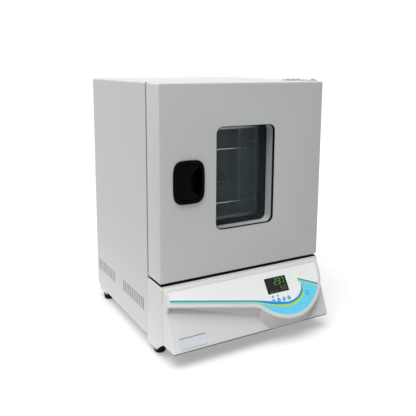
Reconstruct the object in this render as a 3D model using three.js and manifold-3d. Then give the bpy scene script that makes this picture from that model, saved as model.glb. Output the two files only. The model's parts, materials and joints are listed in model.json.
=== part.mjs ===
// Bench-top laboratory oven with a side-hinged window door and a sloped control console.
// Millimetres, +Z up, the door faces -Y. While it is modelled, y = 0 is the front of the
// door and z = 0 is the surface the feet stand on.
import * as THREE from "three";
import { mergeVertices } from "three/addons/utils/BufferGeometryUtils.js";
import Module from "manifold-3d";

const wasm = await Module();
wasm.setup();

// Driving sizes
const cabinetWidth = 450;
const casingDepth = 363;
const doorHeight = 447.5;
const doorThickness = 62;
const sealGap = 7;
const ledgeGap = 6;
const baseHeight = 142.5;
const skirtClearance = 32;
const sideInsulation = 60;
const topInsulation = 60;
const lowerInsulation = 57.5;
const rearSpace = 70.7;
const windowSideMargin = 143.7;
const windowTopDrop = 99.5;
const windowLowMargin = 105.6;
const panelTilt = 34.6;
const lowerFaceTilt = 25;

// Sheet, wall and fit values
const sheet = 1.5;
const linerSheet = 1.2;
const fitGap = 0.3;
const overrun = 2;
const mouldWall = 3;
const bendRadius = 4;
const doorBend = 3;

// Smoothness of round shapes, in counts
const roundSides = 14;
const smallSides = 8;
const arcSteps = 2;
const weldDistance = 1e-6;
const sliverWidth = 0.02;
const hiddenSteps = 1;
const edgeSteps = 3;

// Levels and planes worked out from the driving sizes
const halfWidth = cabinetWidth / 2;
const ledgeZ = skirtClearance + baseHeight;
const doorBottomZ = ledgeZ + ledgeGap;
const doorTopZ = doorBottomZ + doorHeight;
const doorBackY = doorThickness;
const casingFrontY = doorThickness + sealGap;
const casingBackY = casingFrontY + casingDepth;
const innerHalfWidth = halfWidth - sheet;

// Levels of the chamber behind the door
const frameSheet = 2;
const frameBackY = casingFrontY + frameSheet;
const linerFrontY = frameBackY + fitGap;
const linerInnerBackY = casingBackY - rearSpace;
const chamberTopZ = doorTopZ - topInsulation;
const chamberBottomZ = doorBottomZ + lowerInsulation;
const chamberHeight = chamberTopZ - chamberBottomZ;
const chamberHalf = halfWidth - sideInsulation;

// Small general tools
const degrees = (angle) => THREE.MathUtils.degToRad(angle);
const sides = [-1, 1];

function solidOf(geometry) {
  const bare = geometry.index ? geometry.toNonIndexed() : geometry.clone();
  bare.deleteAttribute("normal");
  bare.deleteAttribute("uv");
  const welded = mergeVertices(bare);
  const vertProperties = new Float32Array(welded.attributes.position.array);
  const triVerts = new Uint32Array(welded.index.array);
  return new wasm.Manifold(new wasm.Mesh({ numProp: 3, vertProperties, triVerts }));
}

// A solid as a geometry, without the slivers that cuts leave where two faces all but meet.
// Corners that single precision makes equal are welded, and the triangles between them go.
function geometryOf(solid) {
  const mesh = solid.simplify(sliverWidth).getMesh();
  const loose = new THREE.BufferGeometry();
  const positions = Float32Array.from(mesh.vertProperties);
  loose.setAttribute("position", new THREE.BufferAttribute(positions, 3));
  loose.setIndex(new THREE.BufferAttribute(Uint32Array.from(mesh.triVerts), 1));
  const geometry = mergeVertices(loose, weldDistance);
  const corners = Array.from(geometry.index.array);
  const triangles = [];
  for (let first = 0; first < corners.length; first += 3) {
    const triangle = corners.slice(first, first + 3);
    if (new Set(triangle).size === triangle.length) {
      triangles.push(...triangle);
    }
  }
  geometry.setIndex(triangles);
  geometry.computeVertexNormals();
  return geometry;
}

function joined(solids) {
  return solids.reduce((whole, piece) => whole.add(piece));
}

function block(x0, x1, y0, y1, z0, z1) {
  const geometry = new THREE.BoxGeometry(x1 - x0, y1 - y0, z1 - z0);
  geometry.translate((x0 + x1) / 2, (y0 + y1) / 2, (z0 + z1) / 2);
  return solidOf(geometry);
}

function extruded(shape, length, steps = arcSteps) {
  return new THREE.ExtrudeGeometry(shape, {
    depth: length,
    bevelEnabled: false,
    curveSegments: steps,
  });
}

// Outline in x and z, carried from y0 back to y1
function prismBack(shape, y0, y1, steps = arcSteps) {
  const geometry = extruded(shape, y1 - y0, steps);
  geometry.rotateX(degrees(90));
  geometry.translate(0, y1, 0);
  return solidOf(geometry);
}

// Outline in y and z, carried from x0 across to x1
function prismAcross(shape, x0, x1, steps = arcSteps) {
  const geometry = extruded(shape, x1 - x0, steps);
  const turn = new THREE.Matrix4().makeBasis(
    new THREE.Vector3(0, 1, 0),
    new THREE.Vector3(0, 0, 1),
    new THREE.Vector3(1, 0, 0),
  );
  geometry.applyMatrix4(turn);
  geometry.translate(x0, 0, 0);
  return solidOf(geometry);
}

// Outline in x and y, raised from z0 to z1
function prismUp(shape, z0, z1, steps = arcSteps) {
  const geometry = extruded(shape, z1 - z0, steps);
  geometry.translate(0, 0, z0);
  return solidOf(geometry);
}

function rodUp(radius, z0, z1, x, y, count = roundSides) {
  const geometry = new THREE.CylinderGeometry(radius, radius, z1 - z0, count);
  geometry.rotateX(degrees(90));
  geometry.translate(x, y, (z0 + z1) / 2);
  return solidOf(geometry);
}

function rodBack(radius, y0, y1, x, z, count = roundSides) {
  const geometry = new THREE.CylinderGeometry(radius, radius, y1 - y0, count);
  geometry.translate(x, (y0 + y1) / 2, z);
  return solidOf(geometry);
}

function rodAcross(radius, x0, x1, y, z, count = roundSides) {
  const geometry = new THREE.CylinderGeometry(radius, radius, x1 - x0, count);
  geometry.rotateZ(degrees(90));
  geometry.translate((x0 + x1) / 2, y, z);
  return solidOf(geometry);
}

function outlineOf(points) {
  const shape = new THREE.Shape();
  shape.moveTo(points[0][0], points[0][1]);
  points.slice(1).forEach(([a, b]) => shape.lineTo(a, b));
  shape.closePath();
  return shape;
}

function roundedRect(a0, a1, b0, b1, radius) {
  const shape = new THREE.Shape();
  shape.moveTo(a0 + radius, b0);
  shape.lineTo(a1 - radius, b0);
  shape.absarc(a1 - radius, b0 + radius, radius, degrees(-90), 0, false);
  shape.lineTo(a1, b1 - radius);
  shape.absarc(a1 - radius, b1 - radius, radius, 0, degrees(90), false);
  shape.lineTo(a0 + radius, b1);
  shape.absarc(a0 + radius, b1 - radius, radius, degrees(90), degrees(180), false);
  shape.lineTo(a0, b0 + radius);
  shape.absarc(a0 + radius, b0 + radius, radius, degrees(180), degrees(270), false);
  return shape;
}

// A slot with square corners
function slotOutline(a0, a1, b0, b1) {
  const shape = new THREE.Shape();
  shape.moveTo(a0, b0);
  shape.lineTo(a1, b0);
  shape.lineTo(a1, b1);
  shape.lineTo(a0, b1);
  shape.closePath();
  return shape;
}

// A closed body through rings of equal point counts, all wound the same way.
// Each cap is filled from a flat outline of its own ring.
function loft(rings, firstOutline, lastOutline) {
  const count = rings[0].length;
  const positions = rings.flat().flatMap((point) => [point.x, point.y, point.z]);
  const index = [];
  for (let ring = 0; ring < rings.length - 1; ring += 1) {
    for (let step = 0; step < count; step += 1) {
      const next = (step + 1) % count;
      const a = ring * count + step;
      const b = ring * count + next;
      index.push(a, b, b + count);
      index.push(a, b + count, a + count);
    }
  }
  const last = (rings.length - 1) * count;
  for (const [a, b, c] of THREE.ShapeUtils.triangulateShape(firstOutline, [])) {
    index.push(a, c, b);
  }
  for (const [a, b, c] of THREE.ShapeUtils.triangulateShape(lastOutline, [])) {
    index.push(last + a, last + b, last + c);
  }
  const geometry = new THREE.BufferGeometry();
  geometry.setAttribute("position", new THREE.Float32BufferAttribute(positions, 3));
  geometry.setIndex(index);
  return solidOf(geometry);
}

// A flat plate in x and z from y0 (front) to y1 (back), its front edge rounded
function roundedPlate(outlineAt, edge, y0, y1) {
  const ringAt = (outline, y) => outline.map((point) => new THREE.Vector3(point.x, y, point.y));
  const back = outlineAt(0);
  const rings = [ringAt(back, y1)];
  for (let step = 0; step <= edgeSteps; step += 1) {
    const angle = degrees((90 * step) / edgeSteps);
    const inset = edge * (1 - Math.cos(angle));
    rings.push(ringAt(outlineAt(inset), y0 + edge * (1 - Math.sin(angle))));
  }
  return loft(rings, back, outlineAt(edge));
}

// Materials
const material = (color, roughness, metalness = 0) =>
  new THREE.MeshStandardMaterial({ color, roughness, metalness });
const paintWhite = material(0xdcdcda, 0.45);
const paintBase = material(0xe9e9e6, 0.45);
const paintDoor = material(0xb6b8b8, 0.45);
const steelBlack = material(0x141414, 0.5, 0.3);
const plasticWhite = material(0xe6e7e4, 0.4);
const blackGloss = material(0x101110, 0.2);
const rubberBlack = material(0x0e0e0e, 0.8);
const siliconeBrown = material(0x7c5a58, 0.6);
const stainless = material(0xb9bcbc, 0.3, 1);
const zincSteel = material(0xa4a6a6, 0.4, 1);
const glassDark = material(0x2c3436, 0.05);
const wool = material(0xd8cfa8, 0.95);
const boardGreen = material(0x1f5a34, 0.6);
const overlayWhite = material(0xeceeec, 0.5);
const keyWhite = material(0xe4e6e6, 0.5);
const keyBlue = material(0x2f8fd0, 0.5);
const ledYellow = material(0xf5dc50, 0.4);
const plateSilver = material(0xbfc5cc, 0.35, 0.6);
const motorGrey = material(0x5c6064, 0.5, 0.6);

// The finished object, centred on its own footprint
const oven = new THREE.Group();

function add(name, solid, look, carrier = oven) {
  const mesh = new THREE.Mesh(geometryOf(solid), look);
  mesh.name = name;
  carrier.add(mesh);
}

// Casing: one folded wrap for both sides and the top, with a stepped skirt and side vents
const frontSkirtZ = 16;
const frontSkirtLength = 6;
const rearSkirtZ = 24;
const rearSkirtSetback = 15;
const rearSkirtLength = 57;
const rearSkirtEndY = casingBackY - rearSkirtSetback;
const rearSkirtStartY = rearSkirtEndY - rearSkirtLength;
const rearNotchZ = 38;
const ventHeight = 31;
const ventLowZ = 84;
const slotWidth = 5;
const slotPitch = 11.9;
const slotCount = 12;
const frontVentSetback = 24;
const rearVentSetback = 142;

function foldedArch(outerHalf, topZ, lowZ, thickness, radius) {
  const inner = radius - thickness;
  const wall = outerHalf - thickness;
  const roof = topZ - thickness;
  const shape = new THREE.Shape();
  shape.moveTo(outerHalf, lowZ);
  shape.lineTo(outerHalf, topZ - radius);
  shape.absarc(outerHalf - radius, topZ - radius, radius, 0, degrees(90), false);
  shape.lineTo(radius - outerHalf, topZ);
  shape.absarc(radius - outerHalf, topZ - radius, radius, degrees(90), degrees(180), false);
  shape.lineTo(-outerHalf, lowZ);
  shape.lineTo(-wall, lowZ);
  shape.lineTo(-wall, roof - inner);
  shape.absarc(inner - wall, roof - inner, inner, degrees(180), degrees(90), true);
  shape.lineTo(wall - inner, roof);
  shape.absarc(wall - inner, roof - inner, inner, degrees(90), 0, true);
  shape.lineTo(wall, lowZ);
  return shape;
}

function ventSlots(startY, side) {
  const slots = [];
  for (let slot = 0; slot < slotCount; slot += 1) {
    const y = startY + slot * slotPitch;
    const hole = slotOutline(y, y + slotWidth, ventLowZ, ventLowZ + ventHeight);
    const x = side * halfWidth;
    slots.push(prismAcross(hole, x - sheet - overrun, x + sheet + overrun));
  }
  return slots;
}

function casing() {
  const wrap = prismBack(
    foldedArch(halfWidth, doorTopZ, frontSkirtZ, sheet, bendRadius),
    casingFrontY,
    casingBackY,
  );
  const under = frontSkirtZ - overrun;
  const belowSkirt = outlineOf([
    [casingFrontY + frontSkirtLength, under],
    [casingBackY + overrun, under],
    [casingBackY + overrun, rearNotchZ],
    [rearSkirtEndY, rearNotchZ],
    [rearSkirtEndY, rearSkirtZ],
    [rearSkirtStartY, rearSkirtZ],
    [rearSkirtStartY, skirtClearance],
    [casingFrontY + frontSkirtLength, skirtClearance],
  ]);
  const skirtCut = prismAcross(belowSkirt, -halfWidth - overrun, halfWidth + overrun);
  const vents = sides.flatMap((side) => [
    ...ventSlots(casingFrontY + frontVentSetback, side),
    ...ventSlots(casingBackY - rearVentSetback, side),
  ]);
  return wrap.subtract(skirtCut).subtract(joined(vents));
}
add("outer_casing", casing(), paintWhite);

// Base tray under the whole body, with turned-up sides
const trayRise = 1.5;
const trayZ = skirtClearance + trayRise;
const trayFrontY = 6;
const trayUpstand = 14;
const trayBackY = casingBackY - sheet - fitGap;
const coverFlange = 12;
const trayHalf = innerHalfWidth - fitGap;
const trayVentLength = 60;
const trayVentRows = 6;
const trayVentPitch = 14;
const trayVentSetback = 242;

function baseTray() {
  const floor = block(-trayHalf, trayHalf, trayFrontY, trayBackY, trayZ, trayZ + sheet);
  const walls = sides.map((side) => {
    const inner = side * (trayHalf - sheet);
    const outer = side * trayHalf;
    const low = Math.min(inner, outer);
    const high = Math.max(inner, outer);
    const wallBackY = casingBackY - coverFlange - fitGap;
    return block(low, high, trayFrontY, wallBackY, trayZ, trayZ + trayUpstand);
  });
  const vents = [];
  for (let row = 0; row < trayVentRows; row += 1) {
    const y = casingBackY - trayVentSetback + row * trayVentPitch;
    const hole = slotOutline(-trayVentLength / 2, trayVentLength / 2, y, y + slotWidth);
    vents.push(prismUp(hole, trayZ - overrun, trayZ + sheet + overrun));
  }
  return joined([floor, ...walls]).subtract(joined(vents));
}
add("base_tray", baseTray(), zincSteel);

// Feet: soft domed pads screwed up against the tray
const footRadius = 14.5;
const footTread = 11.5;
const footShoulder = 7;
const footNeckRadius = 11;
const footInset = 18;
const footBulgeShare = 0.7;
const footRollShare = 0.3;
const footFrontY = 42;
const footRearSetback = 40;
const footRearY = casingBackY - footRearSetback;
const footTopZ = trayZ - fitGap;

function foot(x, y) {
  const neckStart = footTopZ - footShoulder;
  const profile = [
    new THREE.Vector2(0, 0),
    new THREE.Vector2(footTread, 0),
    new THREE.Vector2(
      footTread + (footRadius - footTread) * footBulgeShare,
      footShoulder * footRollShare,
    ),
    new THREE.Vector2(footRadius, footShoulder),
    new THREE.Vector2(footRadius, neckStart),
    new THREE.Vector2(footNeckRadius, footTopZ),
    new THREE.Vector2(0, footTopZ),
  ];
  const geometry = new THREE.LatheGeometry(profile, roundSides);
  geometry.rotateX(degrees(90));
  geometry.translate(x, y, 0);
  return solidOf(geometry);
}
const footX = halfWidth - footInset;
add("foot_front_left", foot(-footX, footFrontY), rubberBlack);
add("foot_front_right", foot(footX, footFrontY), rubberBlack);
add("foot_rear_left", foot(-footX, footRearY), rubberBlack);
add("foot_rear_right", foot(footX, footRearY), rubberBlack);

// Front frame of the base: cheeks and the ledge under the door, with a rolled front edge
const cowlBackY = -3;
const baseFrameFrontY = cowlBackY + fitGap;
const cheekBend = 5;
const cheekFlange = 12;
const cheekFrontRiseZ = 36;
const cheekRiseStartY = 19;
const cheekNotchWidth = 3;
const cheekNotchZ = 28;

// A box with a rolled front edge, set in all round from the frame's outer faces
function rolledBox(inset, backY) {
  const outlineAt = (shrink) =>
    cleaned(
      roundedRect(
        -halfWidth + inset + shrink,
        halfWidth - inset - shrink,
        -cheekBend,
        ledgeZ - inset - shrink,
        cheekBend,
      ).getPoints(arcSteps),
    );
  return roundedPlate(outlineAt, cheekBend - inset, baseFrameFrontY + inset, backY);
}

function baseFrontFrame() {
  const backY = casingFrontY - fitGap;
  const shell = rolledBox(0, backY).subtract(rolledBox(sheet, backY + overrun));
  const mouth = block(
    cheekFlange - halfWidth,
    halfWidth - cheekFlange,
    baseFrameFrontY - overrun,
    baseFrameFrontY + sheet + overrun,
    -cheekBend - overrun,
    ledgeZ - cheekFlange,
  );
  const under = -cheekBend - overrun;
  const belowCheek = outlineOf([
    [backY + overrun, under],
    [backY + overrun, frontSkirtZ],
    [cheekRiseStartY + cheekNotchWidth, frontSkirtZ],
    [cheekRiseStartY + cheekNotchWidth, cheekNotchZ],
    [cheekRiseStartY, cheekNotchZ],
    [cheekRiseStartY, frontSkirtZ + cheekNotchWidth],
    [baseFrameFrontY, cheekFrontRiseZ],
    [baseFrameFrontY - overrun, cheekFrontRiseZ],
    [baseFrameFrontY - overrun, under],
  ]);
  const below = prismAcross(belowCheek, -halfWidth - overrun, halfWidth + overrun);
  return shell.subtract(mouth).subtract(below);
}
add("base_front_frame", baseFrontFrame(), paintBase);

// Door latch path, shared by the door, the front frame and the keeper
const handleInset = 73;
const handleX = handleInset - halfWidth;
const handleDrop = 220;
const handleZ = doorTopZ - handleDrop;
const tongueInset = 27;
const tongueBarLeft = tongueInset - halfWidth;
const tongueBarWidth = 7;
const tongueTravel = 8;
const tongueHalfHeight = 6;
const tongueClear = 2.2;
const tongueReach = 8;
const tongueNoseY = casingFrontY + tongueReach;
const latchSlotLeft = tongueBarLeft - tongueClear;
const latchSlotRight = tongueBarLeft + tongueBarWidth + tongueTravel + tongueClear;
const latchSlotHalfHeight = tongueHalfHeight + tongueClear;

function latchSlot(y0, y1) {
  return block(
    latchSlotLeft,
    latchSlotRight,
    y0,
    y1,
    handleZ - latchSlotHalfHeight,
    handleZ + latchSlotHalfHeight,
  );
}

// Front frame round the chamber mouth
const frameGap = fitGap;
const chamberRadius = 12;

function chamberOutline(growth) {
  return roundedRect(
    -chamberHalf - growth,
    chamberHalf + growth,
    chamberBottomZ - growth,
    chamberTopZ + growth,
    chamberRadius + growth,
  );
}

function frontFrame() {
  const half = innerHalfWidth - frameGap;
  const outline = roundedRect(
    -half,
    half,
    ledgeZ - sheet,
    doorTopZ - sheet - frameGap,
    bendRadius,
  );
  const plate = prismBack(outline, casingFrontY, frameBackY);
  const mouth = prismBack(chamberOutline(0), casingFrontY - overrun, frameBackY + overrun);
  const ledgeRoom = block(
    -halfWidth,
    halfWidth,
    casingFrontY - overrun,
    frameBackY + overrun,
    0,
    ledgeZ + fitGap,
  );
  return plate
    .subtract(mouth)
    .subtract(ledgeRoom)
    .subtract(latchSlot(casingFrontY - overrun, frameBackY + overrun));
}
add("front_frame", frontFrame(), paintWhite);

// Chamber liner: a deep-drawn stainless box with a flange behind the front frame
const linerFlange = 13;
const linerBackY = linerInnerBackY + linerSheet;
const fanX = 0;
const fanZ = (chamberTopZ + chamberBottomZ) / 2;
const shaftRadius = 3;
const shaftHoleRadius = 6;
const heaterRadius = 78;
const heaterTube = 3.5;
const heaterLegAngle = 24;
const heaterLegClearance = 1.5;
const heaterLegHole = heaterTube + heaterLegClearance;
const probeInset = 101;
const probeDrop = 70;
const probeX = chamberHalf - probeInset;
const probeZ = chamberTopZ - probeDrop;
const probeRadius = 2.5;

function heaterLegs() {
  return sides.map((side) => ({
    x: fanX + side * heaterRadius * Math.sin(degrees(heaterLegAngle)),
    z: fanZ - heaterRadius * Math.cos(degrees(heaterLegAngle)),
  }));
}

function rearPassages(y0, y1) {
  const legs = heaterLegs().map(({ x, z }) => rodBack(heaterLegHole, y0, y1, x, z, smallSides));
  const probe = rodBack(probeRadius + fitGap, y0, y1, probeX, probeZ, smallSides);
  return joined([rodBack(shaftHoleRadius, y0, y1, fanX, fanZ, smallSides), probe, ...legs]);
}

function chamberLiner() {
  const flange = prismBack(
    chamberOutline(linerFlange),
    linerFrontY,
    linerFrontY + linerSheet,
    hiddenSteps,
  );
  const tub = prismBack(chamberOutline(linerSheet), linerFrontY, linerBackY);
  const inside = prismBack(chamberOutline(0), linerFrontY - overrun, linerInnerBackY);
  const passages = rearPassages(linerInnerBackY - overrun, linerBackY + overrun);
  return flange.add(tub).subtract(inside).subtract(passages);
}
add("chamber_liner", chamberLiner(), stainless);

// Deck that carries the insulated chamber above the electrical space
const deckRise = 8;
const deckZ = ledgeZ + deckRise;
const insulationSetback = 5;
const insulationFrontY = linerFrontY + insulationSetback;
const motorSpace = 34;
const insulationBackY = casingBackY - motorSpace;
const bulkheadY = insulationBackY + fitGap;
const deckLip = 16;

function deckPlate() {
  const half = innerHalfWidth - fitGap;
  const back = bulkheadY - fitGap;
  const plate = block(-half, half, linerFrontY, back, deckZ, deckZ + sheet);
  const lip = block(-half, half, linerFrontY, linerFrontY + sheet, deckZ - deckLip, deckZ);
  return plate.add(lip);
}
add("chamber_deck", deckPlate(), zincSteel);

// Mineral wool jacket round the liner
const insulationFit = 0.5;

function insulationJacket() {
  const half = innerHalfWidth - insulationFit;
  const outline = roundedRect(
    -half,
    half,
    deckZ + sheet + fitGap,
    doorTopZ - sheet - insulationFit,
    bendRadius,
  );
  const outer = prismBack(outline, insulationFrontY, insulationBackY, hiddenSteps);
  const core = prismBack(
    chamberOutline(linerSheet + 2 * fitGap),
    insulationFrontY - overrun,
    linerBackY + fitGap,
  );
  const passages = rearPassages(linerBackY, insulationBackY + overrun);
  const noseRoom = latchSlot(insulationFrontY - overrun, tongueNoseY + overrun);
  return outer.subtract(core).subtract(passages).subtract(noseRoom);
}
add("insulation_jacket", insulationJacket(), wool);

// Rear bulkhead: closes the insulation and carries the motor
const bulkheadBackY = bulkheadY + sheet;
const motorRadius = 38;
const motorPilot = 16;
const wireHoleRadius = 12;
const wireHoleInset = 105;
const wireHoleX = halfWidth - wireHoleInset;
const wireHoleZ = 80;

function rearBulkhead() {
  const half = innerHalfWidth - fitGap;
  const outline = roundedRect(
    -half,
    half,
    trayZ + trayUpstand + fitGap,
    doorTopZ - sheet - fitGap,
    bendRadius,
  );
  const plate = prismBack(outline, bulkheadY, bulkheadBackY, hiddenSteps);
  const y0 = bulkheadY - overrun;
  const y1 = bulkheadBackY + overrun;
  const pilot = rodBack(motorPilot, y0, y1, fanX, fanZ);
  const wires = rodBack(wireHoleRadius, y0, y1, wireHoleX, wireHoleZ);
  const terminals = rearPassages(y0, y1);
  return plate.subtract(joined([pilot, wires, terminals]));
}
add("rear_bulkhead", rearBulkhead(), zincSteel);

// Fan motor, its shaft running through the insulation into the chamber
const motorFrontY = bulkheadBackY + fitGap;
const motorLength = 24;
const motorFlange = 3;
const motorEar = 8;
const motorBore = shaftRadius + fitGap;

function fanMotor() {
  const can = rodBack(motorRadius - motorEar, motorFrontY, motorFrontY + motorLength, fanX, fanZ);
  const flangeBackY = motorFrontY + motorFlange;
  const flange = rodBack(motorRadius, motorFrontY, flangeBackY, fanX, fanZ);
  const bearing = rodBack(
    motorPilot - fitGap,
    bulkheadY,
    motorFrontY + motorFlange,
    fanX,
    fanZ,
  );
  const bore = rodBack(
    motorBore,
    bulkheadY - overrun,
    motorFrontY + motorLength - motorFlange,
    fanX,
    fanZ,
    smallSides,
  );
  return joined([can, flange, bearing]).subtract(bore);
}
add("fan_motor", fanMotor(), motorGrey);

// Impeller: back plate, hub, curved blades and the shaft
const fanRadius = 55;
const fanHub = 11;
const fanBladeDepth = 14;
const fanPlate = 2;
const fanClearance = 5;
const fanBackY = linerInnerBackY - fanClearance;
const bladeCount = 8;
const bladeThickness = 1.6;
const bladeSweep = 34;
const bladeInner = 26;

function fanBlade(index) {
  const start = degrees((360 * index) / bladeCount);
  const sweep = degrees(bladeSweep);
  const inner = [];
  const outer = [];
  for (let step = 0; step <= edgeSteps; step += 1) {
    const part = step / edgeSteps;
    const radius = bladeInner + (fanRadius - bladeInner) * part;
    const angle = start + sweep * part * part;
    const across = bladeThickness / 2 / radius;
    inner.push([radius * Math.cos(angle - across), radius * Math.sin(angle - across)]);
    outer.unshift([radius * Math.cos(angle + across), radius * Math.sin(angle + across)]);
  }
  const outline = outlineOf([...inner, ...outer].map(([a, b]) => [fanX + a, fanZ + b]));
  return prismBack(outline, fanBackY - fanPlate - fanBladeDepth, fanBackY - fanPlate / 2);
}

function fanImpeller() {
  const plate = rodBack(fanRadius, fanBackY - fanPlate, fanBackY, fanX, fanZ, 2 * bladeCount);
  const hub = rodBack(fanHub, fanBackY - fanPlate - fanBladeDepth, fanBackY, fanX, fanZ);
  const shaftEnd = motorFrontY + motorLength - motorFlange - overrun;
  const shaft = rodBack(shaftRadius, fanBackY - fanPlate, shaftEnd, fanX, fanZ, smallSides);
  const blades = Array.from({ length: bladeCount }, (_, index) => fanBlade(index));
  return joined([plate, hub, shaft, ...blades]);
}
add("fan_impeller", fanImpeller(), zincSteel);

// Heater: a tubular ring round the fan with two legs out through the back
const heaterSetback = 12;
const heaterY = linerInnerBackY - heaterSetback;
const heaterBend = 8;
const heaterSides = 3;
const heaterSteps = 30;
const heaterTerminal = 6;
const heaterEndY = bulkheadBackY + heaterTerminal;
const heaterCollar = 3;

function heaterRing() {
  const path = new THREE.CurvePath();
  const point = (angle, y) =>
    new THREE.Vector3(
      fanX + heaterRadius * Math.sin(angle),
      y,
      fanZ - heaterRadius * Math.cos(angle),
    );
  class Ring extends THREE.Curve {
    getPoint(part) {
      const from = degrees(heaterLegAngle);
      return point(from + (degrees(360) - 2 * from) * part, heaterY);
    }
  }
  const first = degrees(heaterLegAngle);
  const last = degrees(360) - first;
  path.add(new THREE.LineCurve3(point(first, heaterEndY), point(first, heaterY + heaterBend)));
  path.add(
    new THREE.QuadraticBezierCurve3(
      point(first, heaterY + heaterBend),
      point(first, heaterY),
      point(first + heaterBend / heaterRadius, heaterY),
    ),
  );
  const ringFrom = first + heaterBend / heaterRadius;
  const ring = new Ring();
  ring.getPoint = (part) => point(ringFrom + (last - first - 2 * (ringFrom - first)) * part, heaterY);
  path.add(ring);
  path.add(
    new THREE.QuadraticBezierCurve3(
      point(last - heaterBend / heaterRadius, heaterY),
      point(last, heaterY),
      point(last, heaterY + heaterBend),
    ),
  );
  path.add(new THREE.LineCurve3(point(last, heaterY + heaterBend), point(last, heaterEndY)));
  const section = new THREE.Shape();
  section.absarc(0, 0, heaterTube, 0, degrees(360), false);
  const geometry = new THREE.ExtrudeGeometry(section, {
    steps: heaterSteps,
    curveSegments: heaterSides,
    extrudePath: path,
    bevelEnabled: false,
  });
  const collarBackY = linerInnerBackY - fitGap;
  const collars = heaterLegs().map(({ x, z }) =>
    rodBack(2 * heaterTube, collarBackY - heaterCollar, collarBackY, x, z),
  );
  return joined([solidOf(geometry), ...collars]);
}
add("heater_element", heaterRing(), zincSteel);

// Temperature probe through the back wall and the air duct
const ductDepth = 34;
const ductY = linerInnerBackY - ductDepth;
const probeReach = 26;
const probeCollar = 5;

function temperatureProbe() {
  const tip = ductY - probeReach;
  const stem = rodBack(probeRadius, tip, bulkheadBackY + probeCollar, probeX, probeZ, smallSides);
  const collarY = linerInnerBackY - fitGap;
  const collar = rodBack(2 * probeRadius, collarY - probeCollar, collarY, probeX, probeZ, smallSides);
  return stem.add(collar);
}
add("temperature_probe", temperatureProbe(), stainless);

// Air duct: a perforated pan in front of the fan
const ductMargin = 14;
const ductRadius = 6;
const ductSlotLength = 46;
const ductSlotWidth = 6;
const ductSlotPitch = 34;
const ductRows = 1;
const ductColumnInset = 57;
const ductColumnX = chamberHalf - ductColumnInset;
const intakeRadius = 42;
const intakeBar = 5;
const intakeHub = 12;

function intakeGrille() {
  const y0 = ductY - overrun;
  const y1 = ductY + linerSheet + overrun;
  const open = rodBack(intakeRadius, y0, y1, fanX, fanZ);
  const hub = rodBack(intakeHub, y0, y1, fanX, fanZ);
  const bars = [0, 60, 120].map((turn) => {
    const geometry = new THREE.BoxGeometry(2 * intakeRadius + overrun, y1 - y0, intakeBar);
    geometry.rotateY(degrees(turn));
    geometry.translate(fanX, (y0 + y1) / 2, fanZ);
    return solidOf(geometry);
  });
  return open.subtract(joined([hub, ...bars]));
}

function ductSlots() {
  const slots = [];
  const rowsUp = sides.flatMap((side) =>
    Array.from({ length: ductRows }, (_, row) => side * (intakeRadius + (row + 1) * ductSlotPitch)),
  );
  for (const offset of rowsUp) {
    for (const x of [-ductColumnX, 0, ductColumnX]) {
      const hole = slotOutline(
        x - ductSlotLength / 2,
        x + ductSlotLength / 2,
        fanZ + offset,
        fanZ + offset + ductSlotWidth,
      );
      slots.push(prismBack(hole, ductY - overrun, ductY + linerSheet + overrun));
    }
  }
  return joined(slots);
}

function ductOutline(inset) {
  return roundedRect(
    -chamberHalf + ductMargin + inset,
    chamberHalf - ductMargin - inset,
    chamberBottomZ + ductMargin + inset,
    chamberTopZ - ductMargin - inset,
    ductRadius,
  );
}

function airDuct() {
  const back = linerInnerBackY - fitGap;
  const pan = prismBack(ductOutline(0), ductY, back, hiddenSteps);
  const hollow = prismBack(
    ductOutline(linerSheet),
    ductY + linerSheet,
    back + overrun,
    hiddenSteps,
  );
  const probeHole = rodBack(
    probeRadius + fitGap,
    ductY - overrun,
    ductY + linerSheet + overrun,
    probeX,
    probeZ,
    smallSides,
  );
  return pan.subtract(hollow).subtract(joined([intakeGrille(), ductSlots(), probeHole]));
}
add("air_duct", airDuct(), stainless);

// Shelf ladders on both side walls, and two wire shelves resting on their ledges
const ledgeCount = 5;
const lowestLedge = 17;
const topLedgeRoom = 41.4;
const lowestLedgeZ = chamberBottomZ + lowestLedge;
const ledgePitch = (chamberHeight - lowestLedge - topLedgeRoom) / (ledgeCount - 1);
const ladderStrip = 2;
const ladderPost = 12;
const ladderFrontRoom = 24.7;
const ladderBackRoom = 69.3;
const ladderFrontY = linerFrontY + ladderFrontRoom;
const ladderLength = linerInnerBackY - ladderBackRoom - ladderFrontY;
const ladderDepth = 11;
const ladderEndMargin = 12;
const shelfLevels = [1, 3];
const shelfFrontRoom = 20.7;
const shelfBackRoom = 47.3;
const shelfFrontY = linerFrontY + shelfFrontRoom;
const shelfBackY = linerInnerBackY - shelfBackRoom;
const shelfBar = 2.2;
const shelfWire = 1.25;
const shelfWirePitch = 19.2;
const shelfWireSides = 4;
const shelfBarSides = 6;
const shelfSideGap = 4.5;

function shelfLadder(side) {
  const wall = chamberHalf - fitGap;
  const span = (inner, outer, y0, y1, z0, z1) => {
    const ends = [side * inner, side * outer].sort((a, b) => a - b);
    return block(ends[0], ends[1], y0, y1, z0, z1);
  };
  const posts = [ladderFrontY, ladderFrontY + ladderLength - ladderPost].map((y) =>
    span(
      wall - ladderStrip,
      wall,
      y,
      y + ladderPost,
      chamberBottomZ + ladderEndMargin,
      chamberTopZ - 2 * ladderEndMargin,
    ),
  );
  const ledges = [];
  for (let level = 0; level < ledgeCount; level += 1) {
    const z = lowestLedgeZ + level * ledgePitch;
    ledges.push(
      span(
        wall - ladderDepth,
        wall - ladderStrip / 2,
        ladderFrontY,
        ladderFrontY + ladderLength,
        z - ladderStrip,
        z,
      ),
    );
  }
  return joined([...posts, ...ledges]);
}
add("shelf_ladder_left", shelfLadder(-1), stainless);
add("shelf_ladder_right", shelfLadder(1), stainless);

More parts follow.
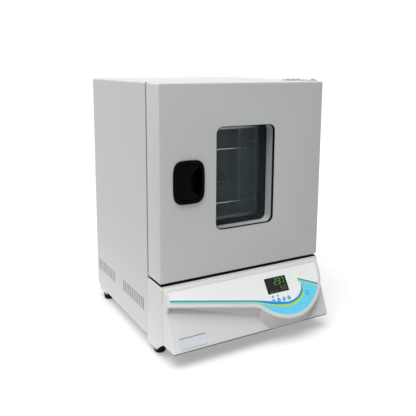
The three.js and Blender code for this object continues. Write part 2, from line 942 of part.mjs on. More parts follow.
function wireShelf(level) {
  const restZ = lowestLedgeZ + level * ledgePitch + fitGap;
  const barZ = restZ + shelfBar;
  const half = chamberHalf - shelfSideGap - shelfBar;
  const frame = [
    rodAcross(shelfBar, -half - shelfBar, half + shelfBar, shelfFrontY, barZ, shelfBarSides),
    rodAcross(shelfBar, -half - shelfBar, half + shelfBar, shelfBackY, barZ, shelfBarSides),
    rodBack(shelfBar, shelfFrontY, shelfBackY, -half, barZ, shelfBarSides),
    rodBack(shelfBar, shelfFrontY, shelfBackY, half, barZ, shelfBarSides),
  ];
  const wires = [];
  const wireCount = Math.floor(half / shelfWirePitch);
  for (let step = -wireCount; step <= wireCount; step += 1) {
    const x = step * shelfWirePitch;
    wires.push(rodBack(shelfWire, shelfFrontY, shelfBackY, x, barZ, shelfWireSides));
  }
  return joined([...frame, ...wires]);
}
add("shelf_lower", wireShelf(shelfLevels[0]), stainless);
add("shelf_upper", wireShelf(shelfLevels[1]), stainless);

// Keeper plate that the latch tongue enters
const keeperMargin = 10;
const keeperThickness = 3;

function latchKeeper() {
  const y0 = frameBackY + fitGap;
  const plate = block(
    latchSlotLeft - keeperMargin,
    latchSlotRight,
    y0,
    y0 + keeperThickness,
    handleZ - latchSlotHalfHeight - keeperMargin,
    handleZ + latchSlotHalfHeight + keeperMargin,
  );
  const mouth = block(
    latchSlotLeft,
    latchSlotRight + overrun,
    y0 - overrun,
    y0 + keeperThickness + overrun,
    handleZ - latchSlotHalfHeight,
    handleZ + latchSlotHalfHeight,
  );
  return plate.subtract(mouth);
}
add("latch_keeper", latchKeeper(), zincSteel);

// Power board in the electrical space, standing on the tray
const powerBoardInset = 185;
const powerBoardSetback = 51;
const powerBoardX = halfWidth - powerBoardInset;
const powerBoardY = casingFrontY + powerBoardSetback;
const powerBoardWidth = 150;
const powerBoardDepth = 110;
const boardThickness = 1.6;
const standoffHeight = 9;
const standoffRadius = 4;
const transformerSize = 54;
const relaySize = 28;

function powerBoard() {
  const floorZ = trayZ + sheet + fitGap;
  const boardZ = floorZ + standoffHeight;
  const x1 = powerBoardX + powerBoardWidth;
  const y1 = powerBoardY + powerBoardDepth;
  const board = block(powerBoardX, x1, powerBoardY, y1, boardZ, boardZ + boardThickness);
  const inset = 2 * standoffRadius;
  const posts = [powerBoardX + inset, x1 - inset].flatMap((x) =>
    [powerBoardY + inset, y1 - inset].map((y) =>
      rodUp(standoffRadius, floorZ, boardZ + boardThickness / 2, x, y, smallSides),
    ),
  );
  const transformer = block(
    powerBoardX + inset,
    powerBoardX + inset + transformerSize,
    powerBoardY + 2 * inset,
    powerBoardY + 2 * inset + transformerSize,
    boardZ + boardThickness / 2,
    boardZ + boardThickness + transformerSize,
  );
  const relay = block(
    x1 - inset - relaySize,
    x1 - inset,
    powerBoardY + 2 * inset,
    powerBoardY + 2 * inset + relaySize,
    boardZ + boardThickness / 2,
    boardZ + boardThickness + relaySize,
  );
  return joined([board, transformer, relay, ...posts]);
}
add("power_board", powerBoard(), boardGreen);

// Back cover: a shallow pan with louvre slots over the motor and a cut-out for the inlet
const coverSlotLength = 120;
const coverSlotWidth = 5;
const coverSlotPitch = 15;
const coverSlotCount = 7;
const inletInset = 65;
const inletX = inletInset - halfWidth;
const inletZ = 92;
const inletWidth = 30;
const inletHeight = 26;
const inletFlange = 6;
const inletFlangeThickness = 2.5;
const inletDepth = 22;
const inletRadius = 3;
const socketWidth = 24.5;
const socketHeight = 17;
const socketDepth = 17;

function inletOutline(growth) {
  return roundedRect(
    inletX - inletWidth / 2 - growth,
    inletX + inletWidth / 2 + growth,
    inletZ - inletHeight / 2 - growth,
    inletZ + inletHeight / 2 + growth,
    inletRadius,
  );
}

function backCover() {
  const half = innerHalfWidth - fitGap;
  const topZ = doorTopZ - sheet - fitGap;
  const lowZ = trayZ + sheet + fitGap;
  const outer = roundedRect(-half, half, lowZ, topZ, bendRadius);
  const inner = roundedRect(-half + sheet, half - sheet, lowZ + sheet, topZ - sheet, sheet);
  const pan = prismBack(outer, casingBackY - coverFlange, casingBackY);
  const hollow = prismBack(inner, casingBackY - coverFlange - overrun, casingBackY - sheet);
  const slots = [];
  for (let row = 0; row < coverSlotCount; row += 1) {
    const z = fanZ + (row - (coverSlotCount - 1) / 2) * coverSlotPitch;
    const hole = slotOutline(
      fanX - coverSlotLength / 2,
      fanX + coverSlotLength / 2,
      z,
      z + coverSlotWidth,
    );
    slots.push(prismBack(hole, casingBackY - sheet - overrun, casingBackY + overrun));
  }
  const inletHole = prismBack(
    inletOutline(fitGap),
    casingBackY - sheet - overrun,
    casingBackY + overrun,
  );
  return pan.subtract(hollow).subtract(joined([...slots, inletHole]));
}
add("back_cover", backCover(), paintWhite);

function mainsInlet() {
  const faceY = casingBackY + fitGap;
  const flange = prismBack(inletOutline(inletFlange), faceY, faceY + inletFlangeThickness);
  const body = prismBack(inletOutline(0), faceY - inletDepth, faceY + inletFlangeThickness / 2);
  const socket = prismBack(
    roundedRect(
      inletX - socketWidth / 2,
      inletX + socketWidth / 2,
      inletZ - socketHeight / 2,
      inletZ + socketHeight / 2,
      inletRadius,
    ),
    faceY + inletFlangeThickness - socketDepth,
    faceY + inletFlangeThickness + overrun,
  );
  return flange.add(body).subtract(socket);
}
add("mains_inlet", mainsInlet(), rubberBlack);

// Console housing: a moulded cowl with a raised, sloped control panel that swells into a bulge
const cowlFlange = 2;
const cowlRise = 6;
const cowlBottomZ = skirtClearance + cowlRise;
const cowlCornerRadius = 5;
const cowlSideInset = 4;
const cowlToeY = -59;
const cowlToeEdge = 1.6;
const cheekInset = 5;
const cheekRadius = 5;
const panelEdge = 2.4;
const panelStandoff = 1;
const panelSideInset = 5.5;
const panelLeft = panelSideInset - halfWidth;
const panelCornerDrop = 44.2;
const panelLineSlope = 0.208;
const bulgeInset = 125;
const bulgeX = halfWidth - bulgeInset;
const bulgeDrop = 16.5;
const bulgeRadius = 118;
const bulgeFillet = 38;
const skirtSideInset = 4.6;
const skirtLineLeft = skirtSideInset - halfWidth;
const skirtLineDrop = 54.5;
const skirtLineZ = ledgeZ - skirtLineDrop;
const skirtLineSlope = 0.224;
const skirtBulgeInset = 131.2;
const skirtBulgeX = halfWidth - skirtBulgeInset;
const skirtBulgeDrop = 48;
const skirtBulgeZ = ledgeZ - skirtBulgeDrop;
const skirtBulgeRadius = 102.5;
const skirtFillet = 12;
const skirtRightInset = 9.5;
const skirtRightX = halfWidth - skirtRightInset;
const linePoints = 6;
const filletPoints = 5;
const bulgePoints = 20;
const panelTopZ = ledgeZ;
const panelTopY = cowlBackY - panelStandoff;
const lowerFaceY = (z) => cowlToeY + Math.tan(degrees(lowerFaceTilt)) * (z - cowlBottomZ);

// Frame of the control panel: x across, y up the slope from its top edge, z outwards
const panelTurn = new THREE.Matrix4().makeRotationX(degrees(90 - panelTilt));
const panelPlace = new THREE.Matrix4()
  .makeTranslation(0, panelTopY, panelTopZ)
  .multiply(panelTurn);

// Outline with a falling lower line, a hollow fillet and a round bulge.
// It runs down the left side, along the bottom and up the right side.
function consoleOutline(o) {
  const tilt = Math.atan(o.slope);
  const along = new THREE.Vector2(Math.cos(tilt), -Math.sin(tilt));
  const below = new THREE.Vector2(-Math.sin(tilt), -Math.cos(tilt));
  const corner = new THREE.Vector2(o.left, o.low);
  const centre = new THREE.Vector2(o.bulgeX, o.bulgeV);
  const track = corner.clone().addScaledVector(below, o.fillet).sub(centre);
  const half = track.dot(along);
  const reach = o.radius + o.fillet;
  const run = -half - Math.sqrt(half * half - track.lengthSq() + reach * reach);
  const lineEnd = corner.clone().addScaledVector(along, run);
  const pivot = lineEnd.clone().addScaledVector(below, o.fillet);
  const toPivot = pivot.clone().sub(centre);
  const joinAngle = Math.atan2(toPivot.y, toPivot.x);
  const lineAngle = Math.atan2(-below.y, -below.x);
  const points = [new THREE.Vector2(o.left, o.top)];
  for (let step = 0; step < linePoints; step += 1) {
    points.push(corner.clone().lerp(lineEnd, step / linePoints));
  }
  const hollowTurn = joinAngle + degrees(180) - lineAngle;
  const hollow = Math.atan2(Math.sin(hollowTurn), Math.cos(hollowTurn));
  for (let step = 0; step < filletPoints; step += 1) {
    const angle = lineAngle + (hollow * step) / filletPoints;
    points.push(
      new THREE.Vector2(
        pivot.x + o.fillet * Math.cos(angle),
        pivot.y + o.fillet * Math.sin(angle),
      ),
    );
  }
  const from = joinAngle < 0 ? joinAngle : joinAngle - degrees(360);
  for (let step = 0; step <= bulgePoints; step += 1) {
    const angle = from + ((o.endAngle - from) * step) / bulgePoints;
    const v = o.bulgeV + o.radius * Math.sin(angle);
    points.push(new THREE.Vector2(o.bulgeX + o.radius * Math.cos(angle), Math.max(v, o.floor)));
  }
  points.push(new THREE.Vector2(o.right, o.top));
  return points;
}

function panelOutline(inset) {
  return consoleOutline({
    left: panelLeft + inset,
    top: -inset,
    low: -panelCornerDrop + inset,
    slope: panelLineSlope,
    bulgeX,
    bulgeV: -bulgeDrop,
    radius: bulgeRadius - inset,
    fillet: bulgeFillet + inset,
    endAngle: 0,
    right: bulgeX + bulgeRadius - inset,
    floor: -2 * bulgeRadius,
  });
}

function skirtOutline(inset) {
  return consoleOutline({
    left: skirtLineLeft + inset,
    top: panelTopZ - inset,
    low: skirtLineZ + inset,
    slope: skirtLineSlope,
    bulgeX: skirtBulgeX,
    bulgeV: skirtBulgeZ,
    radius: skirtBulgeRadius - inset,
    fillet: skirtFillet + inset,
    endAngle: 0,
    right: skirtRightX - inset,
    floor: cowlBottomZ + inset,
  });
}

function panelRing(outline, depth) {
  return outline.map((point) =>
    new THREE.Vector3(point.x, point.y, -depth).applyMatrix4(panelPlace),
  );
}

const edgeSofteningShare = 0.3;

function panelBody(inset, depth, edge, backY) {
  const face = panelOutline(inset + edge);
  const skirt = skirtOutline(inset);
  const flangeY = cowlBackY - cowlFlange;
  const seatY = (z) => Math.min(lowerFaceY(z), flangeY) + fitGap + depth;
  const rings = [
    skirt.map((point) => new THREE.Vector3(point.x, backY, point.y)),
    skirt.map((point) => new THREE.Vector3(point.x, seatY(point.y), point.y)),
  ];
  if (edge > 0) {
    const soft = edge * edgeSofteningShare;
    rings.push(panelRing(panelOutline(inset), depth + edge));
    rings.push(panelRing(panelOutline(inset + soft), depth + soft));
  }
  rings.push(panelRing(face, depth));
  return loft(rings, skirt, face);
}

// Plan corner of the lower wedge, from the joint with the cheek round to the front face
function wedgeCorner(inset) {
  const depth = cowlBackY - cowlToeY;
  const lean = Math.atan2(cheekInset - cowlSideInset, depth);
  const radius = cheekRadius - inset;
  const centreX = cheekInset + cheekRadius;
  const centreY = depth - cheekRadius;
  const points = [[inset + cowlSideInset, 0]];
  for (let step = 0; step <= edgeSteps; step += 1) {
    const angle = lean + ((degrees(90) - lean) * step) / edgeSteps;
    points.push([centreX - radius * Math.cos(angle), centreY + radius * Math.sin(angle)]);
  }
  return points;
}

function wedgeRing(inset, share, z, backY) {
  const corner = wedgeCorner(inset);
  const drop = inset * (1 - share);
  const left = corner.map(([a, b]) => {
    const y = b === 0 ? backY : cowlBackY - b * share + drop;
    const start = inset + cowlSideInset;
    return new THREE.Vector3(start - halfWidth + (a - start) * share, y, z);
  });
  const right = left.map((point) => new THREE.Vector3(-point.x, point.y, z)).reverse();
  return [...left, ...right];
}

function wedgeBody(inset, toeEdge, lowZ, backY) {
  const endShare = 0.02;
  const depth = cowlBackY - cowlToeY;
  const topZ = cowlBottomZ + (depth * (1 - endShare)) / Math.tan(degrees(lowerFaceTilt));
  const shareAt = (z) => 1 - ((z - cowlBottomZ) / (topZ - cowlBottomZ)) * (1 - endShare);
  const ringAt = (z, shrink) => wedgeRing(inset + shrink, shareAt(z), z, backY);
  const rings = [ringAt(lowZ + toeEdge, 0), ringAt(topZ, 0)];
  if (toeEdge > 0) {
    rings.unshift(ringAt(lowZ, toeEdge));
  }
  const flat = rings.map((ring) => ring.map((point) => new THREE.Vector2(point.x, point.y)));
  return loft(rings, flat[0], flat[rings.length - 1]);
}

// Groove under the panel's lip, deep at the left end and running out to nothing
const grooveWall = 4;
const grooveEndOffset = 80.5;
const grooveDepth = 17;
const grooveLip = 1.2;
const grooveRunOut = 0.6;

function lipGroove(growth) {
  const startX = panelLeft + grooveWall - growth;
  const endX = bulgeX - grooveEndOffset + growth;
  const lipAt = (x) => {
    const v = -panelCornerDrop - panelLineSlope * (x - panelLeft);
    return new THREE.Vector3(x, v, -panelEdge).applyMatrix4(panelPlace);
  };
  const seatAt = (x) => {
    const z = skirtLineZ - skirtLineSlope * (x - skirtLineLeft);
    return new THREE.Vector3(x, lowerFaceY(z), z);
  };
  const mouth = [startX, endX].flatMap((x) => {
    const lip = lipAt(x);
    const seat = seatAt(x);
    const down = new THREE.Vector3(0, seat.y - lip.y, seat.z - lip.z).normalize();
    const out = new THREE.Vector3(0, down.z, -down.y);
    const top = lip.addScaledVector(down, grooveLip - growth);
    const low = seat.addScaledVector(down, growth);
    const lifted = (point, rise) => point.clone().addScaledVector(out, rise);
    const ends = [top, low];
    return [grooveRunOut - growth, overrun].flatMap((rise) =>
      ends.map((point) => lifted(point, rise)),
    );
  });
  const lip = lipAt(startX);
  const deep = new THREE.Vector3(startX, lip.y + grooveDepth + growth, lip.z - grooveLip + growth);
  const points = [...mouth, deep].map((point) => [point.x, point.y, point.z]);
  return wasm.Manifold.hull(points);
}

// Control panel fittings, placed in the panel's own frame
const overlayInset = 8.7;
const overlayTop = 13;
const overlayThickness = 0.6;
const displayOffset = 56.6;
const displayLeft = bulgeX - displayOffset;
const displayWidth = 62.5;
const displayDrop = 29.2;
const displayHeight = 38;
const displayThickness = 2;
const keyDrop = 85;
const firstKeyOffset = 47.7;
const firstKeyX = bulgeX - firstKeyOffset;
const keyPitch = 15.1;
const keyRadius = 4.4;
const keyProud = 0.8;
const keyTravel = 1;
const keyFlange = 1;
const keyFlangeGrowth = 1.2;
const powerKeyOffset = 54.7;
const powerKeyX = bulgeX + powerKeyOffset;
const powerKeyDrop = 82.7;
const powerKeyRadius = 6;
const ledOffset = 52.5;
const ledX = bulgeX + ledOffset;
const ledDrop = 34.6;
const ledRadius = 2.2;
const boardDepth = 12;
const boardLeftReach = 70;
const boardRightReach = 72;
const boardLeft = bulgeX - boardLeftReach;
const boardRight = bulgeX + boardRightReach;
const boardTop = 22;
const boardBottom = 100;
const bossRadius = 3;
const ribThickness = 2.4;
const ribDepth = 14;
const ribClearance = 30;
const ribPitch = 75;
const ribCount = 3;
const keyNames = ["key_menu", "key_down", "key_up", "key_start"];
const keys = keyNames.map((name, index) => ({
  name,
  x: firstKeyX + index * keyPitch,
  drop: keyDrop,
  radius: keyRadius,
  paint: keyWhite,
}));
keys.push({
  name: "key_power",
  x: powerKeyX,
  drop: powerKeyDrop,
  radius: powerKeyRadius,
  paint: keyBlue,
});

function panelRod(radius, x, drop, low, high, count = roundSides) {
  const geometry = new THREE.CylinderGeometry(radius, radius, high - low, count);
  geometry.rotateX(degrees(90));
  geometry.translate(x, -drop, (low + high) / 2);
  return solidOf(geometry);
}

function panelBlock(x0, x1, drop0, drop1, low, high) {
  return block(x0, x1, -drop1, -drop0, low, high);
}

function placed(solid) {
  const geometry = geometryOf(solid);
  geometry.applyMatrix4(panelPlace);
  return solidOf(geometry);
}

function panelOpenings() {
  const through = -mouldWall - overlayThickness - overrun;
  const holes = keys.map((key) =>
    panelRod(key.radius + fitGap, key.x, key.drop, through, overrun),
  );
  holes.push(panelRod(ledRadius + fitGap, ledX, ledDrop, through, overrun, smallSides));
  holes.push(
    panelBlock(
      displayLeft - fitGap,
      displayLeft + displayWidth + fitGap,
      displayDrop - fitGap,
      displayDrop + displayHeight + fitGap,
      through,
      overrun,
    ),
  );
  return joined(holes);
}

function overlayOutline(inset) {
  const points = panelOutline(overlayInset + inset);
  const top = -overlayTop - inset;
  return points.map((point) => new THREE.Vector2(point.x, Math.min(point.y, top)));
}

function overlaySheet(inset, low, high) {
  const geometry = extruded(new THREE.Shape(overlayOutline(inset)), high - low);
  geometry.translate(0, 0, low);
  return solidOf(geometry);
}

function consoleCowl() {
  const flange = prismBack(
    roundedRect(
      cowlSideInset - halfWidth,
      halfWidth - cowlSideInset,
      cowlBottomZ + cowlToeEdge,
      ledgeZ,
      cowlCornerRadius,
    ),
    cowlBackY - cowlFlange,
    cowlBackY,
  );
  const outer = joined([
    flange,
    wedgeBody(0, cowlToeEdge, cowlBottomZ, cowlBackY),
    panelBody(0, 0, panelEdge, cowlBackY),
  ]);
  const ribs = Array.from({ length: ribCount }, (_, index) => {
    const x = boardLeft - ribClearance - index * ribPitch;
    return block(x, x + ribThickness, cowlToeY, cowlBackY - ribDepth, cowlBottomZ, ledgeZ);
  });
  const cavity = wedgeBody(mouldWall, 0, cowlBottomZ + mouldWall, cowlBackY + 2 * mouldWall)
    .add(panelBody(mouldWall, mouldWall, 0, cowlBackY + overrun))
    .subtract(joined(ribs))
    .subtract(lipGroove(mouldWall));
  const bosses = [boardLeft + 2 * bossRadius, boardRight - 2 * bossRadius].map((x) =>
    panelRod(bossRadius, x, boardTop + bossRadius, fitGap - boardDepth, -mouldWall / 2, smallSides),
  );
  return outer
    .subtract(cavity)
    .subtract(lipGroove(0))
    .add(placed(joined(bosses)))
    .subtract(placed(overlaySheet(-fitGap, -overlayThickness - fitGap, overrun)))
    .subtract(placed(panelOpenings()));
}
add("console_cowl", consoleCowl(), plasticWhite);

const panel = new THREE.Group();
panel.position.set(0, panelTopY, panelTopZ);
panel.rotation.x = degrees(90 - panelTilt);
oven.add(panel);

add(
  "control_overlay",
  overlaySheet(0, -overlayThickness, 0).subtract(panelOpenings()),
  overlayWhite,
  panel,
);

function displayWindow() {
  return panelBlock(
    displayLeft,
    displayLeft + displayWidth,
    displayDrop,
    displayDrop + displayHeight,
    -displayThickness,
    0,
  );
}
add("display_window", displayWindow(), blackGloss, panel);

const moduleInset = 1;

function displayModule() {
  return panelBlock(
    displayLeft + moduleInset,
    displayLeft + displayWidth - moduleInset,
    displayDrop + moduleInset,
    displayDrop + displayHeight - moduleInset,
    fitGap - boardDepth,
    -displayThickness - fitGap,
  );
}
add("display_module", displayModule(), rubberBlack, panel);

// Each key: a low cap, a retaining flange behind the wall, and a stem above its switch
const switchHeight = 4;
const stemShare = 0.5;

function panelKey(key) {
  const wallBack = -mouldWall - overlayThickness - fitGap;
  const cap = panelRod(key.radius, key.x, key.drop, wallBack - keyFlange / 2, keyProud);
  const flange = panelRod(
    key.radius + keyFlangeGrowth,
    key.x,
    key.drop,
    wallBack - keyFlange,
    wallBack,
  );
  const stemEnd = -boardDepth + switchHeight + keyTravel + fitGap;
  const stem = panelRod(key.radius * stemShare, key.x, key.drop, stemEnd, wallBack, smallSides);
  return joined([cap, flange, stem]);
}
keys.forEach((key) => add(key.name, panelKey(key), key.paint, panel));

function statusLed() {
  return panelRod(ledRadius, ledX, ledDrop, fitGap - boardDepth, fitGap, smallSides);
}
add("status_led", statusLed(), ledYellow, panel);

function controlBoard() {
  const board = panelBlock(
    boardLeft,
    boardRight,
    boardTop,
    boardBottom,
    -boardDepth - boardThickness,
    -boardDepth,
  );
  const switches = keys.map((key) =>
    panelRod(
      key.radius * stemShare,
      key.x,
      key.drop,
      -boardDepth - boardThickness / 2,
      -boardDepth + switchHeight,
      smallSides,
    ),
  );
  return joined([board, ...switches]);
}
add("control_board", controlBoard(), boardGreen, panel);

// Bare plate on the console's lower face
const plateWidth = 67;
const plateHeight = 22;
const plateInset = 57.5;
const plateX = plateInset - halfWidth;
const plateRise = 16.5;
const plateMidZ = cowlBottomZ + plateRise;
const plateThickness = 0.8;
const plateRadius = 1;
const lowerFace = new THREE.Group();
lowerFace.position.set(0, lowerFaceY(plateMidZ), plateMidZ);
lowerFace.rotation.x = degrees(90 - lowerFaceTilt);
oven.add(lowerFace);

function blankPlate() {
  const outline = roundedRect(
    plateX - plateWidth / 2,
    plateX + plateWidth / 2,
    -plateHeight / 2,
    plateHeight / 2,
    plateRadius,
  );
  const geometry = extruded(outline, plateThickness);
  geometry.translate(0, 0, fitGap);
  return solidOf(geometry);
}
add("blank_plate", blankPlate(), plateSilver, lowerFace);

// Door skin: a pressed pan, open at the back
const doorHalf = halfWidth;
const doorMidZ = (doorTopZ + doorBottomZ) / 2;
const doorCorner = 5;
const windowRadius = 16;
const windowTopZ = doorTopZ - windowTopDrop;
const windowLowZ = doorBottomZ + windowLowMargin;
const windowHalf = halfWidth - windowSideMargin;
const hingeInset = 14;
const hingeX = halfWidth - hingeInset;
const hingeY = 22;
const pinRadius = 4;
const pinHole = pinRadius + fitGap;
const pinDepth = 16;
const bushRadius = 6.8;
const handleHalfWidth = 39.5;
const handleHalfHeight = 50;
const handlePower = 4;
const handleRim = 8;
const tubWall = 2.2;

function windowOutline(growth) {
  return roundedRect(
    -windowHalf - growth,
    windowHalf + growth,
    windowLowZ - growth,
    windowTopZ + growth,
    windowRadius + growth,
  );
}

function squircle(halfWide, halfHigh) {
  const points = [];
  const count = 2 * roundSides;
  for (let step = 0; step < count; step += 1) {
    const angle = degrees((360 * step) / count);
    const cos = Math.cos(angle);
    const sin = Math.sin(angle);
    const power = 2 / handlePower;
    points.push(
      new THREE.Vector2(
        handleX + halfWide * Math.sign(cos) * Math.abs(cos) ** power,
        handleZ + halfHigh * Math.sign(sin) * Math.abs(sin) ** power,
      ),
    );
  }
  return points;
}

const tubHalfWidth = handleHalfWidth - handleRim + tubWall;
const tubHalfHeight = handleHalfHeight - handleRim + tubWall;

function tubPrism(growth, y0, y1) {
  const outline = squircle(tubHalfWidth + growth, tubHalfHeight + growth);
  return prismBack(new THREE.Shape(outline), y0, y1);
}

function doorSkin() {
  const outlineAt = (half, low, high, corner) => (inset) =>
    roundedRect(-half + inset, half - inset, low + inset, high - inset, corner).getPoints(
      arcSteps,
    );
  const outer = roundedPlate(
    (inset) => cleaned(outlineAt(doorHalf, doorBottomZ, doorTopZ, doorCorner)(inset)),
    doorBend,
    0,
    doorBackY,
  );
  const hollow = prismBack(
    roundedRect(
      -doorHalf + sheet,
      doorHalf - sheet,
      doorBottomZ + sheet,
      doorTopZ - sheet,
      doorCorner - sheet,
    ),
    sheet,
    doorBackY + overrun,
  );
  const front = -overrun;
  const cuts = [
    prismBack(windowOutline(0), front, sheet + overrun),
    tubPrism(fitGap, front, sheet + overrun),
    rodUp(pinHole, doorTopZ - sheet - overrun, doorTopZ + overrun, hingeX, hingeY),
    rodUp(pinHole, doorBottomZ - overrun, doorBottomZ + sheet + overrun, hingeX, hingeY),
  ];
  return outer.subtract(hollow).subtract(joined(cuts));
}

// Drops the repeated points that lines and arcs share
function cleaned(points) {
  const close = 0.001;
  return points.filter((point, index) => {
    const next = points[(index + 1) % points.length];
    return point.distanceTo(next) > close;
  });
}
add("door_shell", doorSkin(), paintDoor);

// Window: dark trim behind the skin, a deep reveal, and two panes
const trimDepth = 4.5;
const trimSet = 0.8;
const trimWall = 5;
const revealWall = 2.5;
const glassThickness = 4;
const glassMargin = 7;
const revealDepth = 35;
const innerWindowInset = 14;
const trimFrontY = sheet + fitGap;
const trimBackY = trimFrontY + trimDepth;
const revealFrontY = trimBackY + fitGap;
const outerGlassY = revealDepth;
const outerGlassBackY = outerGlassY + glassThickness;
const panelRecess = 2;
const panelFaceY = doorBackY - panelRecess;
const innerGlassBackY = panelFaceY - sheet - fitGap;
const innerGlassY = innerGlassBackY - glassThickness;

function ringBack(outer, inner, y0, y1) {
  return prismBack(outer, y0, y1).subtract(prismBack(inner, y0 - overrun, y1 + overrun));
}
add(
  "window_trim",
  ringBack(windowOutline(trimWall), windowOutline(trimSet), trimFrontY, trimBackY),
  rubberBlack,
);

function windowReveal() {
  const tube = ringBack(
    windowOutline(revealWall),
    windowOutline(0),
    revealFrontY,
    outerGlassY - fitGap,
  );
  const seat = ringBack(
    windowOutline(glassMargin + revealWall),
    windowOutline(0),
    outerGlassY - fitGap - revealWall,
    outerGlassY - fitGap,
  );
  return tube.add(seat);
}
add("window_reveal", windowReveal(), paintDoor);
add(
  "window_pane_outer",
  prismBack(windowOutline(glassMargin), outerGlassY, outerGlassBackY),
  glassDark,
);

const innerFrameFrontY = outerGlassBackY + fitGap;
add(
  "window_spacer",
  ringBack(
    windowOutline(glassMargin),
    windowOutline(-innerWindowInset / 2),
    innerFrameFrontY,
    innerGlassY - fitGap,
  ),
  rubberBlack,
);
add(
  "window_pane_inner",
  prismBack(windowOutline(glassMargin / 2 - innerWindowInset / 2), innerGlassY, innerGlassBackY),
  glassDark,
);

// Door inner panel, with a pressed plug that faces the chamber
const plugMargin = 22;
const plugHeight = 4.5;
const plugRadius = 14;

function doorInnerPanel() {
  const half = doorHalf - sheet - fitGap;
  const low = doorBottomZ + sheet + fitGap;
  const high = doorTopZ - sheet - fitGap;
  const backY = panelFaceY;
  const frontY = backY - sheet;
  const plate = prismBack(roundedRect(-half, half, low, high, doorCorner - sheet), frontY, backY);
  const plugOutline = (inset) =>
    roundedRect(
      -chamberHalf + plugMargin + inset,
      chamberHalf - plugMargin - inset,
      chamberBottomZ + plugMargin + inset,
      chamberTopZ - plugMargin - inset,
      plugRadius,
    );
  const plug = prismBack(plugOutline(0), frontY, backY + plugHeight);
  const plugHollow = prismBack(plugOutline(sheet), frontY - overrun, backY + plugHeight - sheet);
  const seat = prismBack(windowOutline(glassMargin), frontY, backY);
  const seatWall = ringBack(
    windowOutline(0),
    windowOutline(-innerWindowInset),
    frontY,
    backY + plugHeight,
  );
  const opening = prismBack(
    windowOutline(-innerWindowInset),
    frontY - overrun,
    backY + plugHeight + overrun,
  );
  return plate
    .add(plug)
    .subtract(plugHollow)
    .add(seat)
    .add(seatWall)
    .subtract(opening)
    .subtract(latchSlot(frontY - overrun, backY + overrun));
}
add("door_inner_panel", doorInnerPanel(), stainless);

// Door gasket: close to the door's edge, set back at the hinge so that it swings clear
const gasketSetback = 1.5;
const gasketHingeSetback = 12;
const gasketWidth = 12;
const gasketRadius = 12;

function doorGasket() {
  const outline = (inset) =>
    roundedRect(
      -doorHalf + gasketSetback + inset,
      doorHalf - gasketHingeSetback - inset,
      doorBottomZ + gasketSetback + inset,
      doorTopZ - gasketSetback - inset,
      gasketRadius - inset / 2,
    );
  const back = casingFrontY - fitGap;
  const lip = ringBack(outline(0), outline(gasketWidth), doorBackY + fitGap, back);
  const foot = ringBack(
    outline(sheet + fitGap),
    outline(gasketWidth),
    panelFaceY + fitGap,
    doorBackY + fitGap,
  );
  return lip.add(foot);
}
add("door_gasket", doorGasket(), siliconeBrown);

// Door insulation, cut round the window box, the handle tub, the latch and the hinge bushes
const tubBackY = 22;
const tonguePlateY = tubBackY + fitGap;
const tonguePlateThickness = 4;
const latchPocketMargin = 12;

function doorInsulation() {
  const half = doorHalf - sheet - insulationFit;
  const outline = roundedRect(
    -half,
    half,
    doorBottomZ + sheet + insulationFit,
    doorTopZ - sheet - insulationFit,
    doorCorner,
  );
  const frontY = sheet + insulationFit;
  const backY = panelFaceY - sheet - insulationFit;
  const outer = prismBack(outline, frontY, backY, hiddenSteps);
  const windowBox = prismBack(
    windowOutline(glassMargin + revealWall + 2 * insulationFit),
    0,
    doorBackY,
  );
  const latchPocket = block(
    latchSlotLeft - insulationFit,
    handleX + tubHalfWidth,
    tubBackY,
    doorBackY,
    handleZ - latchPocketMargin,
    handleZ + latchPocketMargin,
  );
  const bushes = [
    rodUp(bushRadius + fitGap, doorTopZ - sheet - pinDepth - fitGap, doorTopZ, hingeX, hingeY),
    rodUp(bushRadius + fitGap, doorBottomZ, doorBottomZ + sheet + pinDepth + fitGap, hingeX, hingeY),
  ];
  return outer
    .subtract(windowBox)
    .subtract(tubPrism(insulationFit, 0, tubBackY + insulationFit))
    .subtract(latchPocket)
    .subtract(joined(bushes));
}
add("door_insulation", doorInsulation(), wool);

// Hinge bushes in the door
function hingeBush(z0, z1) {
  return rodUp(bushRadius, z0, z1, hingeX, hingeY).subtract(
    rodUp(pinHole, z0 - overrun, z1 + overrun, hingeX, hingeY),
  );
}
const bushGap = sheet + fitGap;
add(
  "hinge_bush_upper",
  hingeBush(doorTopZ - sheet - pinDepth, doorTopZ - bushGap),
  rubberBlack,
);
add(
  "hinge_bush_lower",
  hingeBush(doorBottomZ + bushGap, doorBottomZ + sheet + pinDepth),
  rubberBlack,
);

// Hinge brackets and pins on the cabinet
const bracketThickness = 2.5;
const bracketArmHalf = 9;
const bracketInnerInset = 57;
const bracketOuterInset = 3;
const bracketLeftX = halfWidth - bracketInnerInset;
const bracketRightX = halfWidth - bracketOuterInset;
const bracketReach = 23;
const bracketSeat = 2;
const bracketScrewReach = 13;
const bracketBackY = casingFrontY + bracketReach;
const bracketSeatY = casingFrontY + bracketSeat;
const bracketScrewY = casingFrontY + bracketScrewReach;
const bracketFirstScrew = 9.9;
const bracketScrewPitch = 16.5;
const bracketScrewRadius = 3.6;
const bracketScrewHead = 2;
const bracketScrewCount = 3;
const pinHeadRadius = 6;
const pinHead = 1.8;
const washerRadius = 8.5;

function bracketOutline(backY, seatY) {
  const shape = new THREE.Shape();
  shape.moveTo(bracketLeftX, backY);
  shape.lineTo(bracketLeftX, seatY);
  shape.lineTo(hingeX - bracketArmHalf, seatY);
  shape.lineTo(hingeX - bracketArmHalf, hingeY);
  shape.absarc(hingeX, hingeY, bracketArmHalf, degrees(180), degrees(360), false);
  shape.lineTo(hingeX + bracketArmHalf, seatY);
  shape.lineTo(bracketRightX, seatY);
  shape.lineTo(bracketRightX, backY);
  return shape;
}

